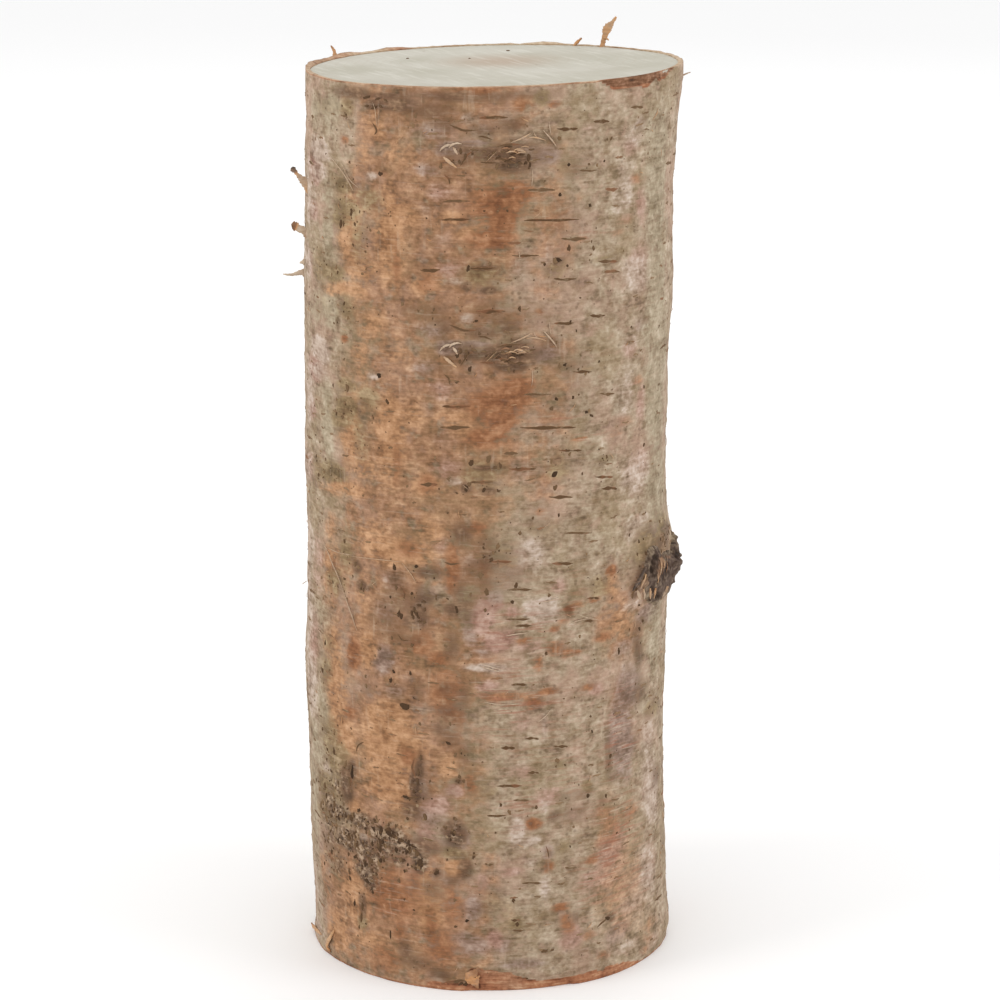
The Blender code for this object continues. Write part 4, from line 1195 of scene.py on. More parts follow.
# Fine fibres: radius in metres, tone and the points of each as column, row and height off the bark
SCAR_FIBRES = (
    (0.00022, 0.72, ((511, 142.6, 0.0001), (519, 139.8, 0.0003), (526, 136.4, 0.0004),
                     (531, 133.4, 0.0002))),
    (0.0002, 0.68, ((526, 139, 0.0001), (533, 138, 0.0003), (540, 139.4, 0.0003), (546, 141.5, 0))),
    (0.00022, 0.76, ((543, 131, 0.0002), (548, 137, 0.0004), (553, 143, 0.0003), (556.5, 148, 0))),
    (0.00011, 0.74, ((533.5, 132, 0.0002), (535, 136, 0.0003), (538, 139, 0.0001))),
    (0.0001, 0.78, ((532, 170, 0.0001), (532.6, 178, 0.0002), (531.6, 187, 0.0001))),
    (0.00018, 0.66, ((512, 151.5, 0), (517, 149, 0.0003), (523, 150, 0))),
    (0.00016, 0.66, ((515, 154.6, 0), (520, 152.4, 0.0003), (526, 152.6, 0))),
    (0.00009, 0.28, ((483, 162, 0), (488, 156, 0.0002), (493, 151, 0.0001))),
    (0.00009, 0.66, ((486, 162, 0), (492, 156, 0.0002), (497, 151, 0.0001))),
    (0.00009, 0.28, ((490, 162, 0), (496, 156.6, 0.0002), (500, 152.6, 0.0001))),
    (0.0001, 0.78, ((549, 123, 0.0001), (549.6, 130, 0.0003), (551, 136, 0.0001))),
)
SINGLE_FIBRES = (
    (0.00013, 0.78, ((328, 150, 0.0002), (346, 172, 0.0007), (354, 188, 0.0003))),
    (0.0001, 0.76, ((341, 158, 0.0002), (350, 176, 0.0005), (360, 186, 0.0002))),
    (0.00011, 0.74, ((372, 100, 0.0002), (376, 110, 0.0005), (377, 124, 0.0002))),
    (0.0001, 0.8, ((578, 615, 0.0003), (586, 618, 0.0005), (600, 621, 0.0003))),
    (0.00012, 0.84, ((480, 663, 0.0003), (492, 667, 0.0005), (508, 671, 0.0003))),
    (0.0001, 0.8, ((538, 722, 0.0003), (545, 716, 0.0005), (551, 709, 0.0003))),
    (0.00016, 0.86, ((480, 666, 0.0001), (490, 669, 0.0003), (500, 672, 0.0001))),
    (0.00014, 0.84, ((506, 636, 0.0001), (516, 634, 0.0003), (530, 632.6, 0.0001))),
    (0.00013, 0.82, ((484, 702, 0.0001), (500, 704.6, 0.0003), (522, 704, 0.0001))),
    (0.00013, 0.82, ((540, 603, 0.0001), (552, 600, 0.0003), (560, 597.6, 0.0001))),
    (0.00012, 0.8, ((569, 624, 0.0001), (580, 620.6, 0.0003), (596, 617, 0.0001))),
    (0.00014, 0.7, ((640, 949, 0.0001), (642.6, 952, 0.0006), (645, 953.6, 0.0012))),
    (0.00012, 0.75, ((306, 579, 0.0001), (303, 581, 0.001), (301, 583, 0.0018))),
    (0.00015, 0.74, ((322, 536, 0.0002), (334, 562, 0.0005), (344, 590, 0.0002))),
    (0.00013, 0.76, ((343, 588, 0.0001), (350, 608, 0.0004), (357, 630, 0.0001))),
    (0.00012, 0.74, ((326, 545, 0.0001), (338, 551, 0.0003), (353, 554, 0.0001))),
    (0.00012, 0.7, ((350, 555, 0.0001), (376, 558, 0.0003), (402, 561, 0.0001))),
    (0.0001, 0.7, ((402, 562, 0.0001), (410, 572, 0.0003), (416, 583, 0.0001))),
)

# Fibres of the branch stub, the same but with the height off whatever the photo shows there
KNOT_FIBRES = (
    (0.00022, 0.66, ((660.4, 560, 0), (661.2, 565, 0.0002), (660.4, 571, 0.0002), (659, 577, 0))),
    (0.00017, 0.64, ((663.2, 560, 0), (664.2, 565, 0.0002), (663.4, 570, 0))),
    (0.00015, 0.3, ((662.4, 562, 0), (662.6, 568, 0.0002), (661.8, 575, 0))),
    (0.00014, 0.34, ((666.4, 560, 0), (667, 566, 0.0002), (665.8, 573, 0))),
    (0.00016, 0.62, ((657.6, 574, 0), (657.8, 580, 0.0002), (656, 587, 0))),
    # The last two are near-black strands laid along the crease below the stub as painted shade.
    (0.00052, 0, ((646.6, 566, 0), (642.6, 572.6, 0.0001), (638.8, 579.6, 0.0001), (635.6, 585.4, 0.0001),
                  (632.6, 591, 0))),
    (0.00034, 0.02, ((643.6, 573, 0), (641, 578.6, 0.0001), (638.6, 584, 0.0001), (636.2, 589, 0))),
)

# Dark cracks: half width in metres and the points as column and row
# The cracks along the scars' flaps are partly dark cracks and partly painted shadow under the flaps.
SCAR_CRACKS = (
    (0.00042, ((449, 124), (457, 127.4), (465, 130), (479, 129.6))),
    (0.00034, ((478, 136.6), (484, 136.6), (492, 139.6))),
    (0.00034, ((460, 166), (464, 160), (468, 154), (474, 150))),
    (0.00034, ((444, 174), (448.6, 178), (449.6, 184))),
    (0.0004, ((496, 146.6), (508, 144.6), (520, 144.6))),
    (0.00028, ((480, 162.4), (488, 162.8), (496, 163))), (0.0005, ((496, 157), (506, 161), (516, 164))),
    (0.0004, ((506, 150), (514, 151.6), (522, 155))),
)
SINGLE_CRACKS = (
    # The first two follow the crease below the branch stub; their dark slits are painted shade.
    (0.00095, ((646, 565), (642, 572), (638, 580), (633.6, 588))),
    (0.0006, ((633, 589), (631, 595), (632, 600))), (0.0004, ((372, 120), (376, 128), (374, 133))),
    (0.0006, ((444.5, 982.6), (452, 982), (461, 981), (468, 982.6))),
    (0.00038, ((444, 562), (451, 564), (459, 563))), (0.00034, ((399, 585), (404, 592), (403, 600))),
    (0.0002, ((546, 846), (548, 852), (549, 859))), (0.00034, ((349, 762), (351.6, 774), (349.6, 788))),
    (0.00042, ((414, 758), (412, 768), (415.6, 778))), (0.00036, ((404, 797), (411, 797.6), (419, 797))),
    (0.0004, ((597, 928), (603, 922), (609, 917))), (0.0003, ((398, 634), (402, 639), (409, 640))),
    (0.0003, ((356, 752), (358, 745), (364, 741))),
)
FIBRE_SIDES = 5
STRIP_THICKNESS = 0.00045
STRIP_STEPS = 4
STREWN_SHREDS = 150


def smooth_path(stations, steps):
    """More stations on a smooth line through the given ones."""
    rows = np.array(stations, dtype=float)
    padded = np.vstack([2 * rows[0] - rows[1], rows, 2 * rows[-1] - rows[-2]])
    found = []
    for index in range(len(rows) - 1):
        before, start, end, after = padded[index:index + 4]
        for step in range(steps):
            t = step / steps
            found.append(
                0.5 * (2 * start + (end - before) * t + (2 * before - 5 * start + 4 * end - after) * t * t
                       + (3 * start - before - 3 * end + after) * t**3)
            )
    found.append(rows[-1])
    return found


def add_sheet(shapes, middles, half_widths, tones, facing, thickness, draw):
    """A thin torn sheet along a line of middles, with ragged sides. It faces the given way."""
    rings, listed = [], []
    cup = draw.uniform(-0.3, 0.3)
    for index, middle in enumerate(middles):
        before, after = neighbours(middles, index)
        along = (after - before).normalized()
        side = along.cross(facing[index]).normalized()
        normal = side.cross(along).normalized()
        half_width = half_widths[index]
        left = half_width * draw.uniform(0.75, 1.2)
        right = half_width * draw.uniform(0.75, 1.2)
        front = [(u, thickness * (0.5 - 0.3 * u * u)) for u in (-1.0, -0.5, 0.0, 0.5, 1.0)]
        back = [(u, -thickness * 0.4) for u in (0.85, 0.0, -0.85)]
        ring = []
        for u, half_thick in front + back:
            reach = left * u if u < 0 else right * u
            lift = cup * half_width * (1 - u * u) + half_thick
            ring.append(middle + side * reach + normal * lift)
        rings.append(ring)
        listed += [tones[index]] * len(ring)
    shapes.add(rings, tone=listed)


def add_fibre(shapes, points, radius, tone):
    """A round fibre through these points, thinner towards both ends."""
    rings = []
    for index, point in enumerate(points):
        before, after = neighbours(points, index)
        along = (after - before).normalized()
        first = along.cross(Vector((0.31, 0.12, 0.94))).normalized()
        second = along.cross(first)
        share = index / (len(points) - 1)
        thin = radius * (0.25 + 0.75 * math.sin(math.pi * share) ** 0.7)
        ring = [point + thin * (cosine * first + sine * second) for cosine, sine in circle(FIBRE_SIDES)]
        rings.append(ring)
    shapes.add(rings, tone=tone)


def outward(degrees):
    """The direction straight out of the log."""
    return Vector((math.cos(math.radians(degrees)), math.sin(math.radians(degrees)), 0))


def face_tree(piece):
    """The faces of a finished piece, ready to be met by a line of sight."""
    corners = [vertex.co for vertex in piece.data.vertices]
    return BVHTree.FromPolygons(corners, [tuple(polygon.vertices) for polygon in piece.data.polygons])


def seen_point(trees, column, row, out):
    """The first point that the photo's line of sight meets here, or this far in front of it."""
    direction = photo_direction(column, row)
    hits = [tree.ray_cast(CAMERA_PLACE, direction) for tree in trees]
    point, normal, _, _ = min((hit for hit in hits if hit[0] is not None), key=lambda hit: hit[3])
    return point + normal * out


def beside_trunk(depth, column, row):
    """The point of a strip that stands beside the trunk, and the way it faces."""
    return beside_photo(column, row, depth), Vector((0, -1, 0))


def over_bark(bark, column, row, out):
    """The point of a flap this far off the bark, and the way it faces."""
    degrees, height = on_photo(column, row)
    return bark.point(degrees, height, out), outward(degrees)


def over_stub(trees, column, row, out):
    """The point of a flap this far off whatever the photo shows here, and the way it faces."""
    return seen_point(trees, column, row, out), -photo_direction(column, row)


def add_strip(shapes, stations, locate, thickness, draw):
    """A torn sheet through stations read off the photo."""
    middles, half_widths, tones, facing = [], [], [], []
    for column, row, half_width, tone, *out in smooth_path(stations, STRIP_STEPS):
        middle, way = locate(column, row, *out)
        middles.append(middle)
        half_widths.append(half_width * PHOTO_PIXEL)
        tones.append(tone)
        facing.append(way)
    add_sheet(shapes, middles, half_widths, tones, facing, thickness, draw)


def add_shred(shapes, bark, draw):
    """A short fibre that arches off the bark somewhere."""
    degrees, height = strewn_place(draw, 0.006, 0.008)
    length = draw.uniform(0.0012, 0.0045)
    lean = draw.uniform(-1.0, 1.0)
    turn, rise = math.degrees(length * lean / LOG_RADIUS), length * draw.uniform(-0.9, 0.9)
    lift = draw.uniform(0.0001, 0.0005)
    path = [
        bark.point(degrees - turn / 2, height - rise / 2, 0.0),
        bark.point(degrees - turn / 6, height - rise / 7, lift),
        bark.point(degrees + turn / 6, height + rise / 7, lift),
        bark.point(degrees + turn / 2, height + rise / 2, 0.0),
    ]
    add_fibre(shapes, path, draw.uniform(0.00005, 0.00011), draw.uniform(0.45, 0.78))


def make_strips(bark, material, trees):
    """The torn strips, flaps and fibres of bark."""
    shapes = JoinedShapes()
    draw = random.Random(41)
    for depth, stations in STANDING_STRIPS:
        add_strip(shapes, stations, partial(beside_trunk, depth), 1.6 * STRIP_THICKNESS, draw)
    for stations in LYING_FLAPS + tuple(again(flap) for flap in LYING_FLAPS) + FOOT_FLAPS:
        add_strip(shapes, stations, partial(over_bark, bark), STRIP_THICKNESS, draw)
    for stations in KNOT_TEETH:
        add_strip(shapes, stations, partial(over_stub, trees), 0.6 * STRIP_THICKNESS, draw)
    repeated = tuple((radius, tone, again(points)) for radius, tone, points in SCAR_FIBRES)
    for radius, tone, points in SCAR_FIBRES + repeated + SINGLE_FIBRES:
        path = [over_bark(bark, *station)[0] for station in smooth_path(points, 3)]
        add_fibre(shapes, path, radius, tone)
    for radius, tone, points in KNOT_FIBRES:
        path = [seen_point(trees, *station) for station in smooth_path(points, 3)]
        add_fibre(shapes, path, radius, tone)
    for _ in range(STREWN_SHREDS):
        add_shred(shapes, bark, draw)
    return shapes.make("torn_strips", material, 40)


def make_cracks(bark, material):
    """Dark cracks and creases in the bark, built like the pores but along a bent line."""
    shapes = JoinedShapes()
    repeated = tuple((half_width, again(points)) for half_width, points in SCAR_CRACKS)
    for half_width, points in SCAR_CRACKS + repeated + SINGLE_CRACKS:
        places = [on_photo(column, row) for column, row in smooth_path(points, 4)]
        rings = []
        for index, (degrees, height) in enumerate(places):
            before, after = neighbours(places, index)
            run = arc_gap(after[0], before[0])
            climb = after[1] - before[1]
            length = math.hypot(run, climb)
            swell = max(math.sin(math.pi * index / (len(places) - 1)) ** 0.7, 0.1)
            wide = half_width * swell
            ring = []
            for across, out in CRACK_SECTION:
                turn = math.degrees(-climb / length * across * wide / LOG_RADIUS)
                up = run / length * across * wide
                ring.append(bark.point(degrees + turn, height + up, out * PORE_RISE * swell))
            rings.append(ring)
        ground = bark.look_up(bark.masks["tan"], *places[len(places) // 2])
        shapes.add(rings, slit=CRACK_SLIT * len(rings), tone=0.8, ground=ground)
    return shapes.make("bark_cracks", material, 30)


# The branch stub: the fineness of its melted mesh, the rise of its flakes, how much deeper its worn
# corner is, the small ring on it, as column, row, radius and width in the photo, and the rows and
# sides of each lump before they are melted together
KNOT_VOXEL = 0.00030
KNOT_RELIEF = 0.00076
KNOT_WEAR = 1.8
KNOT_RING = (675.6, 541, 4.2, 1.6)
LUMP_ROWS = 14
LUMP_SIDES = 24


def add_lump(points, faces, bark, lump, number):
    """One lump of the branch stub: an ellipsoid with an uneven surface."""
    degrees, height, out, half_out, half_round, half_up, crumble = lump
    facing = Matrix.Rotation(math.radians(degrees), 3, "Z")
    middle = bark.point(degrees, height, out)
    shift = Vector((3.1 * number, 0.7, 1.9))
    start = len(points)
    for row in range(1, LUMP_ROWS):
        polar = math.pi * row / LUMP_ROWS
        for cosine, sine in circle(LUMP_SIDES):
            direction = Vector((math.sin(polar) * cosine, math.sin(polar) * sine, math.cos(polar)))
            place = Vector((direction.x * half_out, direction.y * half_round, direction.z * half_up))
            place += direction * crumble * noise.noise(direction * 2.3 + shift)
            points.append(middle + facing @ place)
    top, bottom = len(points), len(points) + 1
    points += [middle + Vector((0, 0, half_up)), middle - Vector((0, 0, half_up))]
    last = start + (LUMP_ROWS - 2) * LUMP_SIDES
    for side in range(LUMP_SIDES):
        following = (side + 1) % LUMP_SIDES
        faces.append((top, start + side, start + following))
        faces.append((bottom, last + following, last + side))
        for low in range(start, last, LUMP_SIDES):
            high = low + LUMP_SIDES
            faces.append((low + side, high + side, high + following, low + following))


def make_knot(bark, material):
    """The stub of a dead branch: crumbling lumps melted together, sunk into the bark."""
    points, faces = [], []
    for number, lump in enumerate(KNOT_LUMPS):
        add_lump(points, faces, bark, lump, number)
    separate = bpy.data.meshes.new("branch_stub_lumps")
    separate.from_pydata(points, [], faces)
    lumps = new_object("branch_stub_lumps", separate)
    melt = lumps.modifiers.new("melt", "REMESH")
    melt.mode = "VOXEL"
    melt.voxel_size = KNOT_VOXEL
    graph = bpy.context.evaluated_depsgraph_get()
    melted = bpy.data.meshes.new_from_object(lumps.evaluated_get(graph))
    melted.name = "branch_stub"
    bpy.data.objects.remove(lumps, do_unlink=True)
    bpy.data.meshes.remove(separate)
    crumble_knot(melted, bark)
    return add_object("branch_stub", melted, material, 70)


# How the stub's looks differ: column, row, half width and half height in the photo, and strength
KNOT_ZONES = {
    "stub": (
        (671, 565, 15, 24, 1), (656, 580, 12, 14, 0.8), (664, 552, 10, 10, 0.6),
    ),
    # The hollows are sunk into the stub and darkened with painted shade.
    "shaded_hollow": (
        (656, 557.5, 3, 3.2, 1), (653.6, 562.5, 2.2, 3.4, 0.8), (651.8, 569, 1.8, 4.6, 0.7),
        (642.4, 573, 2.2, 3, 0.8), (640.2, 577, 2.5, 3.4, 1), (637.6, 581.5, 2.5, 3.4, 1),
        (635, 586, 2.3, 3.2, 1), (672.2, 543, 2.2, 2.2, 1), (668, 548.4, 4, 1.6, 0.5),
        (677.8, 555, 2, 5, 0.9), (666, 572, 1.6, 4, 0.25), (652, 590, 2.6, 3.6, 0.9), (658, 596, 2.2, 4, 1),
        (646.6, 583, 1.4, 4, 0.5), (660.4, 549, 3, 1.4, 0.4),
    ),
    "fibres": (
        (661.6, 563, 3.6, 6.5, 1), (659.4, 572, 2.6, 6, 0.7), (667, 557, 4, 2.4, 0.5),
    ),
    "smooth": (
        (645, 552, 13, 16, 1), (675.6, 541, 5, 5, 0.8),
    ),
    "shaded": (
        (666, 552, 11, 14, 1), (656, 576, 14, 16, 0.6), (646, 566, 8, 8, 0.5),
    ),
    "worn": (
        (679, 577, 5.5, 5.5, 1),
    ),
}


def on_screen(point):
    """The column and row of the photo at which a point shows."""
    local = Matrix.Rotation(-math.pi / 2 + CAMERA_PITCH, 3, "X") @ (point - CAMERA_PLACE)
    scale = -FOCAL_LENGTH_PIXELS / local.z
    return PHOTO_SIDE / 2 + local.x * scale, PHOTO_SIDE / 2 - local.y * scale


def knot_mask(kind, column, row):
    """How strongly one kind of the stub's zones shows at a place of the photo."""
    strongest = 0.0
    for middle, middle_row, half_width, half_height, strength in KNOT_ZONES[kind]:
        gap = math.hypot((column - middle) / half_width, (row - middle_row) / half_height)
        strongest = max(strongest, strength * math.exp(-(gap**2.4)))
    return strongest


def crumble_knot(mesh, bark):
    """Roughens the stub into flakes and hollows, and marks how light (with painted shade) and how warm each
    place is.
    """
    values = {"light": [], "warm": [], "shaded_hollow": [], "violet": [], "skin": []}
    ring_column, ring_row, ring_radius, ring_width = KNOT_RING
    for vertex in mesh.vertices:
        place = vertex.co.copy()
        from_axis = place.x - axis_at(place.z)
        degrees = math.degrees(math.atan2(place.y, from_axis))
        trunk = bark.look_up(bark.smooth, degrees, min(place.z, LOG_HEIGHT))
        proud = math.hypot(from_axis, place.y) - trunk
        column, row = on_screen(place)
        stub, shaded_hollow, fibres, smooth, shaded, worn = (knot_mask(kind, column, row) for kind in KNOT_ZONES)
        from_ring = math.hypot(column - ring_column, row - ring_row) - ring_radius
        ring = math.exp(-((from_ring / ring_width) ** 2))
        coarse = noise.noise(place * 330 + Vector((1.7, 0, 0)))
        fine = noise.noise(place * 950)
        ridged = 1 - 2 * abs(noise.noise(Vector((place.x * 520, place.y * 520, place.z * 260))))
        rough = (0.3 + 0.9 * stub) * (1 - 0.7 * smooth)
        crumbled = rough * (0.6 * coarse + 0.35 * fine + 0.45 * ridged - 0.2)
        relief = KNOT_RELIEF * (crumbled - shaded_hollow + 0.4 * ring - KNOT_WEAR * worn)
        vertex.co = place + outward(degrees) * relief * smooth_step(proud, -0.0012, 0.0006)
        grain = 0.10 * fine + 0.12 * coarse + 0.10 * ridged * stub
        # The lightness holds painted shade: darker in the hollows and in the shaded zones.
        light = 0.42 - 0.16 * stub - 0.45 * shaded_hollow - 0.02 * smooth + 0.14 * ring - 0.15 * shaded + grain
        skin = max(smooth_fall(proud, 0.0003, 0.0016), 0.7 * smooth * (1 - shaded_hollow))
        values["light"].append(min(max(light, 0), 1))
        values["warm"].append(fibres)
        values["shaded_hollow"].append(shaded_hollow)
        values["violet"].append(stub)
        values["skin"].append(skin * (1 - 0.6 * shaded))
    for name, listed in values.items():
        add_attribute(mesh, name, listed)


# Materials


def srgb(red, green, blue):
    """A colour given as it looks on a screen, 0 to 255 a channel, as the shader's linear values."""
    linear = []
    for value in (red, green, blue):
        share = value / 255
        linear.append(share / 12.92 if share <= 0.04045 else ((share + 0.055) / 1.055) ** 2.4)
    return (*linear, 1.0)


class Shader:
    """A material and short ways to add its nodes. Colours and numbers may be sockets or values."""

    def __init__(self, name):
        self.material = bpy.data.materials.new(name)
        self.material.use_nodes = True
        self.tree = self.material.node_tree
        self.surface = self.tree.nodes["Principled BSDF"]
        self.place = self.add("ShaderNodeTexCoord").outputs["Object"]

    def add(self, kind, inputs=(), **settings):
        node = self.tree.nodes.new(kind)
        for name, value in settings.items():
            setattr(node, name, value)
        for key, value in dict(inputs).items():
            self.feed(node.inputs[key], value)
        return node

    def feed(self, socket, value):
        if isinstance(value, bpy.types.NodeSocket):
            self.tree.links.new(value, socket)
        else:
            socket.default_value = value

    def finish(self, colour, roughness, specular=0.5, normal=None):
        """Sets the surface's looks and gives back the finished material."""
        looks = {"Base Color": colour, "Roughness": roughness, "Specular IOR Level": specular}
        if normal is not None:
            looks["Normal"] = normal
        for name, value in looks.items():
            self.feed(self.surface.inputs[name], value)
        return self.material

    def attribute(self, name):
        return self.add("ShaderNodeAttribute", attribute_name=name).outputs["Fac"]

    def math(self, operation, first, second=0.0, third=0.0):
        inputs = {0: first, 1: second, 2: third}
        return self.add("ShaderNodeMath", inputs, operation=operation).outputs[0]

    def times(self, first, second):
        return self.math("MULTIPLY", first, second)

    def weighted(self, first, *others):
        """The sum of several values, each given with its weight."""
        total = self.times(*first)
        for value, weight in others:
            total = self.math("MULTIPLY_ADD", value, weight, total)
        return total

    def shaken(self, value, grain, reach):
        """The value made uneven by noise: this far up or down where the noise is 1 from its middle."""
        return self.math("MULTIPLY_ADD", self.math("SUBTRACT", grain, 0.5), reach, value)

    def step(self, value, low, high):
        """A soft step from 0 at the low value to 1 at the high one, which may be the smaller of the two."""
        inputs = {"Value": value, "From Min": low, "From Max": high}
        return self.add("ShaderNodeMapRange", inputs, interpolation_type="SMOOTHSTEP").outputs[0]

    def mix(self, share, first, second, blend="MIX"):
        inputs = {0: share, 6: first, 7: second}
        return self.add("ShaderNodeMix", inputs, data_type="RGBA", blend_type=blend).outputs[2]

    def stain(self, colour, share, strength, tint):
        """The colour with a screen colour laid over it, this strongly where the share is 1."""
        return self.mix(self.times(share, strength), colour, srgb(*tint))

    def stretched(self, round_scale, up_scale, shift=0.0):
        """The place on the object, scaled apart round the log and up it."""
        scale = (round_scale, round_scale, up_scale)
        inputs = {"Vector": self.place, "Scale": scale, "Location": (shift, shift, shift)}
        return self.add("ShaderNodeMapping", inputs).outputs[0]

    def noise(self, vector, detail, roughness=0.55):
        inputs = {"Vector": vector, "Scale": 1.0, "Detail": detail, "Roughness": roughness}
        return self.add("ShaderNodeTexNoise", inputs).outputs[0]

    def dots(self, vector, edge, core, rare, sure):
        """Scattered dots: near one of many points, where the random number that it carries is high."""
        node = self.add("ShaderNodeTexVoronoi", {"Vector": vector, "Scale": 1.0})
        chance = self.add("ShaderNodeSeparateColor", {0: node.outputs["Color"]}).outputs[0]
        return self.times(self.step(node.outputs["Distance"], edge, core), self.step(chance, rare, sure))

    def ramp(self, value, *stops):
        """A ramp through linear colours, each given with its position."""
        node = self.add("ShaderNodeValToRGB", {0: value})
        elements = node.color_ramp.elements
        elements[0].position, elements[0].color = stops[0]
        elements[1].position, elements[1].color = stops[-1]
        for position, colour in stops[1:-1]:
            elements.new(position).color = colour
        return node.outputs[0]

    def shades(self, value, *stops):
        """A ramp through screen colours."""
        return self.ramp(value, *[(position, srgb(*colour)) for position, colour in stops])

    def bump(self, height, distance, strength, normal=None):
        node = self.add("ShaderNodeBump", {"Height": height, "Distance": distance, "Strength": strength})
        if normal is not None:
            self.feed(node.inputs["Normal"], normal)
        return node.outputs[0]


# The outer bark and the tan bark under it, from the darkest to the lightest of their mottle
MOTTLE_STOPS = (0.36, 0.44, 0.51, 0.58, 0.66)
OUTER_BARK = ((100, 80, 59), (139, 117, 93), (162, 142, 118), (181, 162, 139), (202, 186, 165))
TAN_BARK = ((88, 60, 38), (130, 94, 65), (151, 112, 82), (172, 132, 100), (200, 163, 130))

# The dark, middling and light colour of each kind of zone, how fully it covers the bark, and how
# ragged its edges are
ZONE_STOPS = (0.40, 0.51, 0.62)
ZONE_LOOKS = {
    "violet": ((106, 82, 68), (148, 124, 110), (178, 158, 145), 0.85, 3.8),
    "pink": ((128, 90, 74), (165, 129, 112), (192, 162, 146), 0.95, 3.8),
    "green": ((130, 114, 88), (161, 146, 121), (186, 171, 147), 0.85, 3.8),
    "gold": ((136, 94, 61), (174, 130, 93), (200, 156, 119), 0.95, 3.8),
    "orange": ((108, 65, 38), (146, 99, 66), (177, 131, 97), 1.00, 3.8),
    "pale": ((154, 131, 115), (186, 165, 148), (208, 192, 178), 0.90, 3.8),
    "olive": ((92, 73, 45), (134, 112, 80), (170, 149, 116), 0.90, 5.0),
    # The dark zones' colours serve dark bark and also the painted shade round the scars and the branch stub.
    "dark": ((68, 49, 34), (108, 81, 60), (148, 119, 92), 0.92, 5.2),
}
GRIME_STOPS = (0.42, 0.49, 0.55, 0.62)
GRIME = ((60, 46, 36), (94, 74, 57), (130, 107, 85), (172, 148, 124))

# Torn bark that is brown, that is pale, and that is old and dark
TORN_STOPS = (0.36, 0.45, 0.54, 0.64)
TORN_BROWN = ((100, 58, 36), (146, 92, 63), (167, 113, 80), (189, 144, 110))
TORN_PALE = ((150, 118, 90), (176, 146, 116), (190, 166, 138), (206, 188, 164))
TORN_DARK = ((70, 45, 30), (112, 75, 50), (136, 97, 71), (172, 134, 108))

# The bark's noises: how many spots to a metre round the log and up it, and a shift; then their detail
# and roughness
BARK_NOISE = {
    "blotches": ((260, 340), (2, 0.5)),
    "middling": ((120, 165, 4.0), (2, 0.5)),
    "fine": ((760, 1050), (2, 0.5)),
    "grain": ((2100, 2400), (2, 0.55)),
    "wrinkles": ((110, 1300), (2, 0.55)),
    "upright": ((800, 90), (2, 0.5)),
    "broad": ((75, 95), (3, 0.55)),
    "hue": ((72, 64, 6.0), (3, 0.5)),
    "small_hue": ((380, 500, 2.0), (2, 0.5)),
}

# The mottle of the bark: how much each noise adds to it, and how much lighter it is made
MOTTLE_PARTS = (
    ("middling", 0.24), ("blotches", 0.36), ("fine", 0.18), ("wrinkles", 0.17), ("upright", 0.03),
)
MOTTLE_LIFT = 0.01

# Faint tints of the bark: the noise, where it starts to show and where it shows in full, how strongly,
# and the colour
BARK_TINTS = (
    ("hue", 0.50, 0.36, 0.34, (150, 130, 96)),
    ("hue", 0.50, 0.64, 0.42, (182, 148, 128)),
    ("small_hue", 0.48, 0.34, 0.30, (128, 104, 70)),
    ("small_hue", 0.54, 0.68, 0.26, (190, 156, 136)),
)

# The darkest and the lightest grain, as factors on the bark's linear colour
GRAIN_SHADES = ((0.36, (0.835, 0.825, 0.81, 1)), (0.64, (0.985, 0.995, 1.01, 1)))

# The branch stub, the torn strips and the crumbs, each by its own value from 0 to 1
STUB_SHADES = (
    (0.05, (42, 31, 23)), (0.24, (72, 56, 45)), (0.40, (102, 86, 74)),
    (0.54, (124, 107, 87)), (0.70, (150, 132, 108)), (0.90, (184, 165, 142)),
)
STRIP_SHADES = (
    (0, (72, 58, 48)), (0.22, (110, 84, 60)), (0.38, (144, 101, 68)), (0.50, (192, 137, 87)),
    (0.62, (192, 152, 112)), (0.74, (176, 150, 125)), (0.92, (200, 181, 158)),
)
CRUMB_SHADES = ((0, (44, 33, 25)), (0.2, (82, 61, 43)), (0.5, (134, 107, 79)), (1, (196, 178, 154)))

# The year rings of the wood, in metres
RING_SPACING = 0.0026
RING_WOBBLE = 0.004


def bark_colour(s, n):
    """The bark's own colour: outer bark, the tan bark under it, their tints and the stains of each zone."""
    mottle = n["mottle"]
    soft_edge = s.weighted((n["blotches"], 0.65), (n["broad"], 0.35))
    streaky_edge = s.weighted((n["blotches"], 0.40), (n["fine"], 0.30), (n["wrinkles"], 0.30))

    def shows(kind, edge, ragged, low, high):
        """Where a zone shows: its mask, broken up by noise."""
        return s.step(s.times(s.shaken(1.0, edge, ragged), s.attribute(kind)), low, high)

    is_tan = shows("tan", soft_edge, 4.6, 0.12, 0.66)
    outer = s.shades(mottle, *zip(MOTTLE_STOPS, OUTER_BARK))
    colour = s.mix(is_tan, outer, s.shades(mottle, *zip(MOTTLE_STOPS, TAN_BARK)))
    less_tint = s.math("MULTIPLY_ADD", is_tan, -0.45, 1.0)
    for source, start, full, strength, tint in BARK_TINTS:
        share = s.times(s.step(n[source], start, full), less_tint)
        colour = s.stain(colour, share, strength, tint)
    for kind, (*shades, cover, ragged) in ZONE_LOOKS.items():
        share = s.times(shows(kind, streaky_edge, ragged, 0.08, 0.62), cover)
        colour = s.mix(share, colour, s.shades(mottle, *zip(ZONE_STOPS, shades)))
    grime = s.times(shows("grime", n["blotches"], 5.0, 0.16, 0.80), 0.92)
    return s.mix(grime, colour, s.shades(n["speckle"], *zip(GRIME_STOPS, GRIME)))


